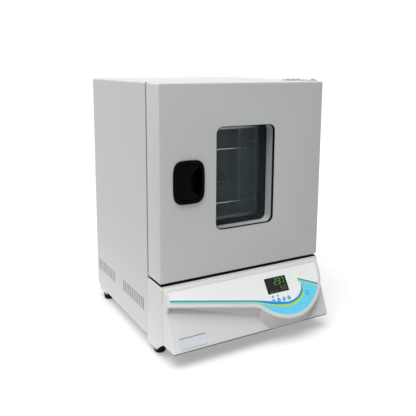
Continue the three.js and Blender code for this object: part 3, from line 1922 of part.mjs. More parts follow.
function upperBracket() {
  const z0 = doorTopZ + fitGap;
  const z1 = z0 + bracketThickness;
  const plate = prismUp(bracketOutline(bracketBackY, bracketSeatY), z0, z1);
  const hole = rodUp(pinHole, z0 - overrun, z1 + overrun, hingeX, hingeY);
  const screws = Array.from({ length: bracketScrewCount }, (_, index) =>
    rodUp(
      bracketScrewRadius,
      z1 - bracketThickness / 2,
      z1 + bracketScrewHead,
      bracketLeftX + bracketFirstScrew + index * bracketScrewPitch,
      bracketScrewY,
      smallSides,
    ),
  );
  return joined([plate, ...screws]).subtract(hole);
}
add("hinge_bracket_upper", upperBracket(), paintWhite);

function upperPin() {
  const seatZ = doorTopZ + fitGap + bracketThickness + fitGap;
  const shank = rodUp(pinRadius, doorTopZ - sheet - pinDepth, seatZ + pinHead / 2, hingeX, hingeY);
  const head = rodUp(pinHeadRadius, seatZ, seatZ + pinHead, hingeX, hingeY);
  return shank.add(head);
}
add("hinge_pin_upper", upperPin(), zincSteel);

const lowerBracketZ = ledgeZ + fitGap;
const lowerBracketTopZ = lowerBracketZ + bracketThickness;

function lowerBracket() {
  const plate = prismUp(
    bracketOutline(casingFrontY - 2 * fitGap, hingeY + 2 * bracketArmHalf),
    lowerBracketZ,
    lowerBracketTopZ,
  );
  const hole = rodUp(
    pinHole,
    lowerBracketZ - overrun,
    lowerBracketTopZ + overrun,
    hingeX,
    hingeY,
  );
  return plate.subtract(hole);
}
add("hinge_bracket_lower", lowerBracket(), steelBlack);
add(
  "hinge_pin_lower",
  rodUp(pinRadius, lowerBracketZ, doorBottomZ + sheet + pinDepth, hingeX, hingeY),
  zincSteel,
);

function hingeWasher() {
  const z0 = lowerBracketTopZ + fitGap;
  const z1 = doorBottomZ - fitGap;
  return rodUp(washerRadius, z0, z1, hingeX, hingeY).subtract(
    rodUp(pinHole, z0 - overrun, z1 + overrun, hingeX, hingeY),
  );
}
add("hinge_washer", hingeWasher(), plasticWhite);

// Handle: a moulded tub with a raised rim, a pivoted paddle and its pin
const rimProud = 5;
const rimEdge = 3;
const tubFloor = 2;
const paddleGap = 1;
const paddleThickness = 5;
const paddleFrontY = -3;
const paddleEdge = 1.2;
const barrelRadius = 4;
const pivotInset = 6.2;
const pivotY = paddleFrontY + barrelRadius;
const pivotX = handleX - (handleHalfWidth - handleRim) + pivotInset;
const pivotPin = 1.5;
const barrelHalf = 27;
const pinHalf = 33;
const lugThickness = 4;
const lugHalfHeight = 5;
const lugEndY = tonguePlateY + tonguePlateThickness;
const scoopOffset = 36;
const scoopX = handleX + scoopOffset;
const scoopHalfWidth = 33;
const scoopHalfHeight = 34;
const lugSwing = 10;
const lugClearance = 1;

function handleTub() {
  const rim = roundedPlate(
    (inset) => squircle(handleHalfWidth - inset, handleHalfHeight - inset),
    rimEdge,
    -rimProud,
    -fitGap,
  );
  const tub = tubPrism(0, -fitGap - rimEdge / 2, tubBackY);
  const pocketOutline = squircle(handleHalfWidth - handleRim, handleHalfHeight - handleRim);
  const pocket = prismBack(
    new THREE.Shape(pocketOutline),
    -rimProud - overrun,
    tubBackY - tubFloor,
  );
  const pinBore = rodUp(
    pivotPin + fitGap,
    handleZ - pinHalf - fitGap,
    handleZ + pinHalf + fitGap,
    pivotX,
    pivotY,
    smallSides,
  );
  const ears = sides.map((side) => {
    const ends = [side * (barrelHalf + fitGap), side * (pinHalf + tubWall)];
    const low = Math.min(...ends) + handleZ;
    const high = Math.max(...ends) + handleZ;
    return rodUp(barrelRadius, low, high, pivotX, pivotY, smallSides);
  });
  const lugRoom = block(
    pivotX - lugThickness,
    pivotX + lugThickness + lugSwing,
    tubBackY - tubFloor - overrun,
    tubBackY + overrun,
    handleZ - lugHalfHeight - lugClearance,
    handleZ + lugHalfHeight + lugClearance,
  );
  return rim
    .add(tub)
    .subtract(pocket)
    .add(joined(ears).intersect(tubPrism(0, -rimProud, tubBackY)))
    .subtract(pinBore)
    .subtract(lugRoom);
}
add("handle_tub", handleTub(), blackGloss);

function handlePaddle() {
  const wide = handleHalfWidth - handleRim - paddleGap;
  const high = handleHalfHeight - handleRim - paddleGap;
  const plate = roundedPlate(
    (inset) => squircle(wide - inset, high - inset),
    paddleEdge,
    paddleFrontY,
    paddleFrontY + paddleThickness,
  );
  const scoop = new THREE.Shape();
  scoop.absellipse(scoopX, handleZ, scoopHalfWidth, scoopHalfHeight, 0, degrees(360), false, 0);
  const scoopCut = prismBack(
    new THREE.Shape(cleaned(scoop.getPoints(roundSides))),
    paddleFrontY - overrun,
    paddleFrontY + paddleThickness + overrun,
  );
  const earRoom = sides.map((side) => {
    const ends = [side * barrelHalf, side * (pinHalf + tubWall + paddleGap)];
    const low = Math.min(...ends) + handleZ;
    const top = Math.max(...ends) + handleZ;
    return rodUp(barrelRadius + paddleGap, low, top, pivotX, pivotY, smallSides);
  });
  const barrel = rodUp(
    barrelRadius,
    handleZ - barrelHalf,
    handleZ + barrelHalf,
    pivotX,
    pivotY,
    smallSides,
  );
  const bore = rodUp(
    pivotPin + fitGap,
    handleZ - 2 * barrelHalf,
    handleZ + 2 * barrelHalf,
    pivotX,
    pivotY,
    smallSides,
  );
  const lug = block(
    pivotX - lugThickness / 2,
    pivotX + lugThickness / 2,
    pivotY + barrelRadius / 2,
    lugEndY,
    handleZ - lugHalfHeight,
    handleZ + lugHalfHeight,
  );
  return plate
    .subtract(scoopCut)
    .subtract(joined(earRoom))
    .add(barrel)
    .subtract(bore)
    .add(lug);
}
add("handle_paddle", handlePaddle(), blackGloss);
add(
  "handle_pin",
  rodUp(pivotPin, handleZ - pinHalf, handleZ + pinHalf, pivotX, pivotY, smallSides),
  zincSteel,
);

// Latch tongue: a plate behind the tub, driven by the paddle's lug, and a bar to the keeper
const tongueClearance = 1;
const tonguePlateReach = 32;
const tonguePlateRight = tongueBarLeft + tonguePlateReach;
const tonguePlateHalf = 9;

function latchTongue() {
  const plateBackY = tonguePlateY + tonguePlateThickness;
  const plate = block(
    tongueBarLeft,
    tonguePlateRight,
    tonguePlateY,
    plateBackY,
    handleZ - tonguePlateHalf,
    handleZ + tonguePlateHalf,
  );
  const lugNotch = block(
    pivotX - lugThickness / 2 - tongueClearance,
    pivotX + lugThickness / 2 + tongueClearance,
    tonguePlateY - overrun,
    plateBackY + overrun,
    handleZ - lugHalfHeight - tongueClearance,
    handleZ + lugHalfHeight + tongueClearance,
  );
  const bar = block(
    tongueBarLeft,
    tongueBarLeft + tongueBarWidth,
    tonguePlateY,
    tongueNoseY,
    handleZ - tongueHalfHeight,
    handleZ + tongueHalfHeight,
  );
  return plate.subtract(lugNotch).add(bar);
}
add("latch_tongue", latchTongue(), zincSteel);

// Centre the footprint on the origin
const bounds = new THREE.Box3().setFromObject(oven);
oven.position.y = -(bounds.min.y + bounds.max.y) / 2;

export default oven;
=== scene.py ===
"""Bench-top laboratory oven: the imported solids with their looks, small parts and setting.

Lengths are metres. x runs to the right, -y out of the door, z up from the bench.
"""

import json
import math

import bmesh
import bpy
from mathutils import Matrix, Vector


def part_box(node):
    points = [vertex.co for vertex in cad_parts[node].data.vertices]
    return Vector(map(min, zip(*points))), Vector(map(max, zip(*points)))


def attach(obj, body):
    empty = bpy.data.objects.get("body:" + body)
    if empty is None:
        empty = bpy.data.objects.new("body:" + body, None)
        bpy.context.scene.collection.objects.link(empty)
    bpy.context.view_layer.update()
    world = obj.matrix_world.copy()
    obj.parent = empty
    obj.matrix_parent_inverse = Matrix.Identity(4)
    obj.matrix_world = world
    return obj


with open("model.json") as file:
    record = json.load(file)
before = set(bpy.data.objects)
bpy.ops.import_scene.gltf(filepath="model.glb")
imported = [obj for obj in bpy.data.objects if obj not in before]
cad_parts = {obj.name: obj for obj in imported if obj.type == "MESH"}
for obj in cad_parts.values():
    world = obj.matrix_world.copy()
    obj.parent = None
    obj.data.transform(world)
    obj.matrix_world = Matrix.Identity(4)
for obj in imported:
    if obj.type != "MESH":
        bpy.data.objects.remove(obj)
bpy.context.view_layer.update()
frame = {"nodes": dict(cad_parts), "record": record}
nodes = frame["nodes"]

# Camera of the photograph
CAMERA_PLACE = (-0.71806, -1.26343, 0.66663)
CAMERA_YAW = math.radians(29.527)
CAMERA_PITCH = math.radians(9.638)
CAMERA_ROLL = math.radians(0.311)
CAMERA_LENS = 48.57
CAMERA_SHIFT = -0.1154

# Control panel: its slope, and where its top edge lies on the solids
PANEL_LEAN = 34.6
PANEL_SLOPE = math.radians(90 - PANEL_LEAN)
PANEL_AHEAD_OF_CASING = 0.073


def panel_frame():
    """Matrix of the panel: x across, y up the slope from the panel's top edge, z outwards."""
    casing_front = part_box("outer_casing")[0].y
    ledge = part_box("base_front_frame")[1].z
    place = Matrix.Translation((0, casing_front - PANEL_AHEAD_OF_CASING, ledge))
    return place @ Matrix.Rotation(PANEL_SLOPE, 4, "X")


PANEL = panel_frame()


# Materials


class Look:
    """A node-built material with short names for the steps that all of them share."""

    def __init__(self, name, color, roughness, metallic=0.0):
        self.material = bpy.data.materials.new(name)
        self.material.use_nodes = True
        self.tree = self.material.node_tree
        self.shader = self.tree.nodes["Principled BSDF"]
        self.color = linear(color)
        self.put("Base Color", (*self.color, 1))
        self.put("Roughness", roughness)
        self.put("Metallic", metallic)
        self.material.diffuse_color = (*self.color, 1)
        self.coordinates = self.tree.nodes.new("ShaderNodeTexCoord")
        self.normal = None

    def put(self, socket, value):
        self.shader.inputs[socket].default_value = value

    def node(self, kind, **settings):
        made = self.tree.nodes.new(kind)
        for key, value in settings.items():
            if key in made.inputs:
                made.inputs[key].default_value = value
            else:
                setattr(made, key, value)
        return made

    def link(self, start, end):
        self.tree.links.new(start, end)

    def noise(self, scale, detail=2.0, stretch=(1, 1, 1)):
        mapping = self.node("ShaderNodeMapping")
        mapping.inputs["Scale"].default_value = stretch
        self.link(self.coordinates.outputs["Object"], mapping.inputs["Vector"])
        made = self.node("ShaderNodeTexNoise", Scale=scale, Detail=detail)
        self.link(mapping.outputs["Vector"], made.inputs["Vector"])
        return made.outputs["Fac"]

    def mottle(self, scale, amount, stretch=(1, 1, 1)):
        """Slow changes of shade over the surface, and of roughness with them."""
        value = self.noise(scale, 3.0, stretch)
        ramp = self.node("ShaderNodeMix", data_type="RGBA")
        darker = [c * (1 - amount) for c in self.color]
        lighter = [min(1.0, c * (1 + amount)) for c in self.color]
        for socket in ramp.inputs:
            if socket.type == "RGBA" and socket.name == "A":
                socket.default_value = (*darker, 1)
            if socket.type == "RGBA" and socket.name == "B":
                socket.default_value = (*lighter, 1)
        self.link(value, ramp.inputs["Factor"])
        self.link(ramp.outputs[2], self.shader.inputs["Base Color"])
        return self

    def vary_roughness(self, scale, low, high, stretch=(1, 1, 1)):
        value = self.noise(scale, 3.0, stretch)
        spread = self.node("ShaderNodeMapRange")
        spread.inputs["To Min"].default_value = low
        spread.inputs["To Max"].default_value = high
        self.link(value, spread.inputs["Value"])
        self.link(spread.outputs["Result"], self.shader.inputs["Roughness"])
        return self

    def bump(self, value, strength, distance):
        made = self.node("ShaderNodeBump", Strength=strength, Distance=distance)
        self.link(value, made.inputs["Height"])
        if self.normal is not None:
            self.link(self.normal, made.inputs["Normal"])
        self.normal = made.outputs["Normal"]
        self.link(self.normal, self.shader.inputs["Normal"])
        return self


def linear(code):
    """Colour code such as "C4C4C4" as linear values."""
    values = [int(code[i : i + 2], 16) / 255 for i in (0, 2, 4)]
    return [v / 12.92 if v <= 0.04045 else ((v + 0.055) / 1.055) ** 2.4 for v in values]


# Depth of each surface's grain
COAT_GRAIN = 0.0002
COAT_PEEL = 0.0004
MOULD_GRAIN = 0.0002
BRUSH_GRAIN = 0.0002
RUBBER_GRAIN = 0.0003
PRINT_GRAIN = 0.0001


def powder_coat(name, color, roughness=0.42):
    look = Look(name, color, roughness)
    look.mottle(9.0, 0.012)
    look.vary_roughness(30.0, roughness - 0.05, roughness + 0.05)
    look.bump(look.noise(1400.0, 2.0), 0.12, COAT_GRAIN)
    look.bump(look.noise(260.0, 1.0), 0.06, COAT_PEEL)
    return look.material


def moulded(name, color, roughness=0.35, grain=1800.0, depth=0.08, gloss=0.5):
    look = Look(name, color, roughness)
    look.put("Specular IOR Level", gloss)
    look.mottle(14.0, 0.01)
    look.vary_roughness(40.0, roughness - 0.04, roughness + 0.04)
    look.bump(look.noise(grain, 2.0), depth, MOULD_GRAIN)
    return look.material


def brushed(name, color, roughness, stretch):
    look = Look(name, color, roughness, 1.0)
    look.mottle(60.0, 0.05, stretch)
    look.vary_roughness(160.0, roughness - 0.07, roughness + 0.1, stretch)
    look.bump(look.noise(300.0, 3.0, stretch), 0.1, BRUSH_GRAIN)
    return look.material


def rubber(name, color, roughness=0.7, gloss=0.5):
    look = Look(name, color, roughness)
    look.put("Specular IOR Level", gloss)
    look.mottle(80.0, 0.12)
    look.bump(look.noise(1200.0, 3.0), 0.2, RUBBER_GRAIN)
    return look.material


def tinted_glass(name, color, cover):
    """Dark glass: cover is the share of the light that each of its faces holds back."""
    look = Look(name, color, 0.02)
    look.put("Alpha", cover)
    look.mottle(6.0, 0.05)
    look.vary_roughness(12.0, 0.01, 0.03)
    return look.material


def printed(name, color, roughness=0.4):
    look = Look(name, color, roughness)
    look.mottle(50.0, 0.02)
    look.bump(look.noise(2500.0, 1.0), 0.03, PRINT_GRAIN)
    return look.material


def glowing(name, color, strength):
    look = Look(name, color, 0.4)
    look.mottle(120.0, 0.08)
    look.put("Emission Color", (*linear(color), 1))
    look.put("Emission Strength", strength)
    return look.material


MATERIALS = {
    "paint_white": powder_coat("paint_white", "D5D5D5"),
    "paint_base": powder_coat("paint_base", "DEDEDB"),
    "paint_door": powder_coat("paint_door", "DCDEDE"),
    "plastic_white": moulded("plastic_white", "DFDFDD"),
    "overlay": printed("overlay", "F5F7F5", 0.38),
    "black_gloss": moulded("black_gloss", "0B0B0B", 0.16, 900.0, 0.02, 0.3),
    "black_plastic": moulded("black_plastic", "0C0D0D", 0.5, gloss=0.2),
    "circuit_board": moulded("circuit_board", "1F5A34", 0.5),
    "led_yellow": glowing("led_yellow", "F4DC3C", 0.3),
    "key_white": moulded("key_white", "E4E6E6", 0.4),
    "key_blue": moulded("key_blue", "62C0EC", 0.4),
    "plate_silver": brushed("plate_silver", "C9CED4", 0.38, (1, 30, 30)),
    "stainless": brushed("stainless", "C2C6C6", 0.3, (1, 1, 25)),
    "zinc_steel": brushed("zinc_steel", "AEB2B2", 0.4, (3, 3, 3)),
    "steel_black": powder_coat("steel_black", "1A1A1A", 0.5),
    "motor_grey": moulded("motor_grey", "5C6064", 0.45),
    "mineral_wool": rubber("mineral_wool", "D8CFA8", 0.95),
    "tinted_glass": tinted_glass("tinted_glass", "4A6068", 0.13),
    "rubber_black": rubber("rubber_black", "080808", gloss=0.15),
    "silicone_brown": rubber("silicone_brown", "A06C68", 0.55),
}


# Smooth shading over the solids, with sharp edges kept above an angle

SHARP_ANGLE = math.radians(32)
WELD_DISTANCE = 0.00001


def smoothing_group():
    group = bpy.data.node_groups.new("smooth_by_angle", "GeometryNodeTree")
    group.interface.new_socket("Geometry", in_out="INPUT", socket_type="NodeSocketGeometry")
    group.interface.new_socket("Geometry", in_out="OUTPUT", socket_type="NodeSocketGeometry")
    add = group.nodes.new
    start = add("NodeGroupInput")
    end = add("NodeGroupOutput")
    weld = add("GeometryNodeMergeByDistance")
    weld.inputs["Distance"].default_value = WELD_DISTANCE
    faces = add("GeometryNodeSetShadeSmooth")
    faces.domain = "FACE"
    edges = add("GeometryNodeSetShadeSmooth")
    edges.domain = "EDGE"
    edges.inputs["Shade Smooth"].default_value = False
    angle = add("GeometryNodeInputMeshEdgeAngle")
    over = add("FunctionNodeCompare")
    over.operation = "GREATER_THAN"
    over.inputs[1].default_value = SHARP_ANGLE
    link = group.links.new
    link(start.outputs[0], weld.inputs["Geometry"])
    link(weld.outputs["Geometry"], faces.inputs["Geometry"])
    link(faces.outputs["Geometry"], edges.inputs["Geometry"])
    link(angle.outputs["Unsigned Angle"], over.inputs[0])
    link(over.outputs["Result"], edges.inputs["Selection"])
    link(edges.outputs["Geometry"], end.inputs[0])
    return group


SMOOTHING = smoothing_group()


def smooth(piece):
    modifier = piece.modifiers.new("smooth", "NODES")
    modifier.node_group = SMOOTHING


def dress(name, material):
    """Gives a solid of the frame its procedural material and soft shading."""
    node = nodes[name]
    node.data.materials.clear()
    node.data.materials.append(material)
    smooth(node)


# The window's reveal takes a darker copy of the door paint: painted shade for the inside of the window
REVEAL_PAINT_SHADED = powder_coat("reveal_paint_shaded", "C6CAC9")
# Liner and duct: dull steel, darker than the stainless, partly its own tone and partly painted shade for
# the inside of the chamber
LINER_STEEL_SHADED = brushed("liner_steel_shaded", "969EA0", 0.34, (1, 1, 25))
WIRE_CHROME = brushed("wire_chrome", "F0F4F4", 0.22, (25, 1, 1))
HANDLE_BLACK = moulded("handle_black", "050505", 0.3, 900.0, 0.02, 0.04)
OTHER_LOOKS = {
    "window_reveal": REVEAL_PAINT_SHADED,
    "chamber_liner": LINER_STEEL_SHADED,
    "air_duct": LINER_STEEL_SHADED,
    "shelf_upper": WIRE_CHROME,
    "shelf_lower": WIRE_CHROME,
    "handle_tub": HANDLE_BLACK,
    "handle_paddle": HANDLE_BLACK,
}
for row in frame["record"]["subparts"]:
    dress(row["node"], OTHER_LOOKS.get(row["node"], MATERIALS[row["material_slot"]]))


# Making of small pieces


def piece_from(name, bm, body, material_slot, material=None):
    mesh = bpy.data.meshes.new(name)
    bmesh.ops.recalc_face_normals(bm, faces=bm.faces)
    bm.to_mesh(mesh)
    bm.free()
    made = bpy.data.objects.new(name, mesh)
    bpy.context.scene.collection.objects.link(made)
    made.data.materials.append(material or MATERIALS[material_slot])
    smooth(made)
    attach(made, body)
    return made


def add_prism(bm, outline, low, high, place=Matrix.Identity(4)):
    """A closed prism on an outline of (x, y) points, from z = low to z = high."""
    bottom = [bm.verts.new(place @ Vector((x, y, low))) for x, y in outline]
    top = [bm.verts.new(place @ Vector((x, y, high))) for x, y in outline]
    bm.faces.new(reversed(bottom))
    bm.faces.new(top)
    count = len(outline)
    for i in range(count):
        j = (i + 1) % count
        bm.faces.new((bottom[i], bottom[j], top[j], top[i]))


RING_STEPS = 28


def circle_points(x, y, radius, count=RING_STEPS):
    turns = [2 * math.pi * i / count for i in range(count)]
    return [(x + radius * math.cos(turn), y + radius * math.sin(turn)) for turn in turns]


def add_ribbon(bm, inner, outer, low, high, place):
    """A flat closed strip between two point rows of equal length."""
    rows = []
    for level in (low, high):
        rows.append([bm.verts.new(place @ Vector((x, y, level))) for x, y in inner])
        rows.append([bm.verts.new(place @ Vector((x, y, level))) for x, y in outer])
    inner_low, outer_low, inner_high, outer_high = rows
    for i in range(len(inner) - 1):
        bm.faces.new((inner_low[i], inner_low[i + 1], outer_low[i + 1], outer_low[i]))
        bm.faces.new((inner_high[i], outer_high[i], outer_high[i + 1], inner_high[i + 1]))
        bm.faces.new((inner_low[i], inner_high[i], inner_high[i + 1], inner_low[i + 1]))
        bm.faces.new((outer_low[i], outer_low[i + 1], outer_high[i + 1], outer_high[i]))
    bm.faces.new((inner_low[0], outer_low[0], outer_high[0], inner_high[0]))
    bm.faces.new((inner_low[-1], inner_high[-1], outer_high[-1], outer_low[-1]))


# Black rubber: the seal that lines the window's mouth; and a black strip on the ledge under the door,
# painted shade for the gap there

REVEAL_FLANGE = 0.0095
SEAL_CLEAR = 0.0006
SEAL_WALL = 0.0005
SEAL_SET = 0.0004
SEAL_DEPTH = 0.0085
WINDOW_CORNER = 0.016
CORNER_STEPS = 8
STRIP_END = 0.2215
STRIP_FRONT = -0.1770
STRIP_BACK = -0.1120
STRIP_NARROW_BACK = -0.1653
STRIP_NARROW_START = 0.1655
STRIP_THICKNESS = 0.0018
STRIP_CLEAR = 0.0003


def rounded_outline(low, high, corner):
    """Points of a rectangle with round corners, from its low and high (x, y) corners."""
    centres = [
        (high[0] - corner, low[1] + corner, -math.pi / 2),
        (high[0] - corner, high[1] - corner, 0),
        (low[0] + corner, high[1] - corner, math.pi / 2),
        (low[0] + corner, low[1] + corner, math.pi),
    ]
    points = []
    for x, y, start in centres:
        for step in range(CORNER_STEPS + 1):
            turn = start + math.pi / 2 * step / CORNER_STEPS
            points.append((x + corner * math.cos(turn), y + corner * math.sin(turn)))
    return points


def add_frame(bm, inner, outer, low, high, place):
    """A closed ring between two outlines of equal length, from z = low to z = high."""
    rows = []
    for outline in (inner, outer):
        for level in (low, high):
            rows.append([bm.verts.new(place @ Vector((x, y, level))) for x, y in outline])
    inner_low, inner_high, outer_low, outer_high = rows
    count = len(inner)
    for i in range(count):
        j = (i + 1) % count
        bm.faces.new((inner_low[i], inner_low[j], outer_low[j], outer_low[i]))
        bm.faces.new((inner_high[i], outer_high[i], outer_high[j], inner_high[j]))
        bm.faces.new((inner_low[i], inner_high[i], inner_high[j], inner_low[j]))
        bm.faces.new((outer_low[i], outer_low[j], outer_high[j], outer_high[i]))


def window_seal():
    """Lines the mouth of the window's reveal, drawn in x and z and pushed back along y."""
    pane_low, pane_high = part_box("window_reveal")
    door_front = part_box("door_shell")[0].y
    margin = REVEAL_FLANGE + SEAL_CLEAR
    low = (pane_low.x + margin, pane_low.z + margin)
    high = (pane_high.x - margin, pane_high.z - margin)
    outer = rounded_outline(low, high, WINDOW_CORNER)
    inner_low = (low[0] + SEAL_WALL, low[1] + SEAL_WALL)
    inner_high = (high[0] - SEAL_WALL, high[1] - SEAL_WALL)
    inner = rounded_outline(inner_low, inner_high, WINDOW_CORNER - SEAL_WALL)
    upright = Matrix.Translation((0, door_front, 0)) @ Matrix.Rotation(math.pi / 2, 4, "X")
    bm = bmesh.new()
    add_frame(bm, inner, outer, -SEAL_DEPTH, -SEAL_SET, upright)
    piece_from("window_seal", bm, "door", "rubber_black")


def ledge_shade_strip():
    """Painted shade for the gap under the door: a black strip that runs the door's whole width, and is
    cut back where the lower hinge bracket stands.
    """
    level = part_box("base_front_frame")[1].z + STRIP_CLEAR
    outline = [
        (-STRIP_END, STRIP_FRONT),
        (STRIP_END, STRIP_FRONT),
        (STRIP_END, STRIP_NARROW_BACK),
        (STRIP_NARROW_START, STRIP_NARROW_BACK),
        (STRIP_NARROW_START, STRIP_BACK),
        (-STRIP_END, STRIP_BACK),
    ]
    bm = bmesh.new()
    add_prism(bm, outline, level, level + STRIP_THICKNESS)
    piece_from("ledge_shade_strip", bm, "cabinet", "rubber_black")


window_seal()
ledge_shade_strip()


# Painted shade in dark pieces that show only at an edge: the black sheet under the console, the dark line
# over the plate, the black sheets behind the vents

CONSOLE_SHADE_HALF = 0.2165
CONSOLE_SHADE_FRONT = -0.2343
CONSOLE_SHADE_BACK = -0.1840
CONSOLE_SHADE_CLEAR = 0.0002
CONSOLE_SHADE_SHEET = 0.0020
VENT_SHADE_SHEET = 0.0006
VENT_SHADE_X = 0.2222
VENT_SHADE_LOW = 0.078
VENT_SHADE_HIGH = 0.121
VENT_SHADE_SPANS = [(-0.088, 0.060), (0.108, 0.2415)]


def add_box(bm, low, high):
    outline = [(low[0], low[1]), (high[0], low[1]), (high[0], high[1]), (low[0], high[1])]
    add_prism(bm, outline, low[2], high[2])


# Painted shade: a black sheet under the cowl, which shows as a dark line along the console's bottom edge
def console_shade_sheet():
    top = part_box("console_cowl")[0].z - CONSOLE_SHADE_CLEAR
    bm = bmesh.new()
    low = (-CONSOLE_SHADE_HALF, CONSOLE_SHADE_FRONT, top - CONSOLE_SHADE_SHEET)
    add_box(bm, low, (CONSOLE_SHADE_HALF, CONSOLE_SHADE_BACK, top))
    piece_from("console_shade_sheet", bm, "cabinet", "black_plastic")


# Painted shade: black sheets just inside the casing, so that the vents show dark
def vent_shade_screens():
    bm = bmesh.new()
    inside = VENT_SHADE_X - VENT_SHADE_SHEET
    for front, back in VENT_SHADE_SPANS:
        for left, right in ((-VENT_SHADE_X, -inside), (inside, VENT_SHADE_X)):
            low = (left, front, VENT_SHADE_LOW)
            add_box(bm, low, (right, back, VENT_SHADE_HIGH))
    piece_from("vent_shade_screens", bm, "cabinet", "black_plastic")


# Painted shadow: a thin dark grey strip along the top edge of the plate
PLATE_SHADOW_FRONT = 0.0004
PLATE_SHADOW_BACK = 0.0006
PLATE_SHADOW_CLEAR = 0.0001
PLATE_SHADOW_HEIGHT = 0.0009
PLATE_SHADOW_GREY = printed("plate_shadow_grey", "6A6E70")


def plate_shadow_line():
    low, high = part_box("blank_plate")
    bm = bmesh.new()
    start = high.z + PLATE_SHADOW_CLEAR
    corner = (high.x, high.y + PLATE_SHADOW_BACK, start + PLATE_SHADOW_HEIGHT)
    add_box(bm, (low.x, high.y - PLATE_SHADOW_FRONT, start), corner)
    piece_from("plate_shadow_line", bm, "cabinet", "plate_silver", PLATE_SHADOW_GREY)


PORT_X = 0.129
PORT_Z = 0.327
PORT_RADIUS = 0.0175
PORT_SHEET = 0.0008


def duct_port_shade():
    """Painted shade of the round port low on the right of the duct, seen through the window: a black disc
    on the duct's front.
    """
    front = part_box("air_duct")[0].y
    upright = Matrix.Translation((0, front, 0)) @ Matrix.Rotation(math.pi / 2, 4, "X")
    bm = bmesh.new()
    add_prism(bm, circle_points(PORT_X, PORT_Z, PORT_RADIUS), 0, PORT_SHEET, upright)
    piece_from("duct_port_shade", bm, "cabinet", "rubber_black")


console_shade_sheet()
vent_shade_screens()
plate_shadow_line()
duct_port_shade()


# Screws: a domed head with a dark cross on it, painted shade for the recess of the slot

SCREW_RADIUS = 0.0034
SCREW_HEIGHT = 0.0014
SCREW_TOP_RADIUS = 0.0021
SCREW_SLOT = 0.0008
SCREW_SLOT_HALF = 0.0018
SCREW_SLOT_RISE = 0.00005
# The cross is painted shade: the slot is not cut, its recess is drawn dark on the head
SLOT_SHADE = moulded("slot_shade", "1C1C1C", 0.6)


def add_dome(bm, place):
    rows = []
    for radius, level in ((SCREW_RADIUS, 0), (SCREW_RADIUS, SCREW_HEIGHT / 2)):
        rows.append([bm.verts.new(place @ Vector((x, y, level))) for x, y in circle_points(0, 0, radius)])
    top = circle_points(0, 0, SCREW_TOP_RADIUS)
    rows.append([bm.verts.new(place @ Vector((x, y, SCREW_HEIGHT))) for x, y in top])
    bm.faces.new(reversed(rows[0]))
    bm.faces.new(rows[-1])
    for lower, upper in zip(rows, rows[1:]):
        for i in range(len(lower)):
            j = (i + 1) % len(lower)
            bm.faces.new((lower[i], lower[j], upper[j], upper[i]))


def add_cross(bm, place):
    half, arm = SCREW_SLOT / 2, SCREW_SLOT_HALF
    outline = [
        (half, half),
        (arm, half),
        (arm, -half),
        (half, -half),
        (half, -arm),
        (-half, -arm),
        (-half, -half),
        (-arm, -half),
        (-arm, half),
        (-half, half),
        (-half, arm),
        (half, arm),
    ]
    add_prism(bm, outline, SCREW_HEIGHT, SCREW_HEIGHT + SCREW_SLOT_RISE, place)


def screws(name, body, places):
    heads = bmesh.new()
    crosses = bmesh.new()
    for place in places:
        add_dome(heads, place)
        add_cross(crosses, place)
    piece_from(name, heads, body, "zinc_steel")
    piece_from(name + "_slots", crosses, body, "zinc_steel", SLOT_SHADE)


def facing(axis_turn, axis, spots):
    return [Matrix.Translation(spot) @ Matrix.Rotation(axis_turn, 4, axis) for spot in spots]


BACK_SCREW_X = 0.2145
BACK_SCREW_Z = [0.058, 0.330, 0.602]
PANEL_SCREW_X = 0.186
PANEL_SCREW_Z = [0.212, 0.596]
DUCT_SCREW_X = 0.139
DUCT_SCREW_Z = [0.266, 0.540]
TRAY_SCREW_X = 0.180
TRAY_SCREW_Y = [-0.110, 0.170]


def spots_xz(x, y, heights):
    return [(side * x, y, z) for side in (-1, 1) for z in heights]



def fit_screws():
    back_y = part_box("back_cover")[1].y
    panel_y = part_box("door_inner_panel")[1].y
    duct_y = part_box("air_duct")[0].y
    tray_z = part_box("base_tray")[0].z
    backward = -math.pi / 2
    forward = math.pi / 2
    back_spots = spots_xz(BACK_SCREW_X, back_y, BACK_SCREW_Z)
    panel_spots = spots_xz(PANEL_SCREW_X, panel_y, PANEL_SCREW_Z)
    duct_spots = spots_xz(DUCT_SCREW_X, duct_y, DUCT_SCREW_Z)
    screws("back_screws", "cabinet", facing(backward, "X", back_spots))
    screws("panel_screws", "door", facing(backward, "X", panel_spots))
    screws("duct_screws", "cabinet", facing(forward, "X", duct_spots))
    tray_spots = [(side * TRAY_SCREW_X, y, tray_z) for side in (-1, 1) for y in TRAY_SCREW_Y]
    screws("tray_screws", "cabinet", facing(math.pi, "X", tray_spots))


fit_screws()


# Prints on the control panel, in the panel's frame

PRINT_THICKNESS = 0.00006
MM = 0.001
PANEL_LEFT = -0.2195
PANEL_CORNER_DROP = 0.0442
PANEL_LINE_SLOPE = 0.208
BULGE_X = 0.100
BULGE_DROP = 0.0165
BULGE_RADIUS = 0.118
BULGE_FILLET = 0.038
FILLET_STEPS = 12
ARC_STEPS = 40
CURVE_STEPS = 8

# Upper edge of the swept stripe as (x, y, width of blue, width of green) in millimetres
SWEEP = [
    (-210.5, -30.3, 4.0, 2.5),
    (-60.0, -60.3, 3.8, 2.5),
    (0.0, -72.4, 3.8, 2.6),
    (42.0, -82.7, 6.9, 3.3),
    (67.0, -88.9, 7.2, 3.9),
    (87.0, -92.6, 6.3, 5.0),
    (101.0, -93.0, 5.9, 5.3),
    (117.0, -89.4, 5.9, 5.2),
    (131.0, -81.8, 5.9, 4.8),
    (141.0, -71.0, 5.2, 3.6),
    (145.3, -57.6, 0.2, 0.2),
]
RIM_CYAN = 0.0093
RIM_CYAN_LEFT = 0.0074
CROSS_START = 0.1400
CROSS_TOP = -0.0427
CROSS_SLOPE = -0.408
CROSS_BLUE = 0.0047
CROSS_GREEN = 0.0041


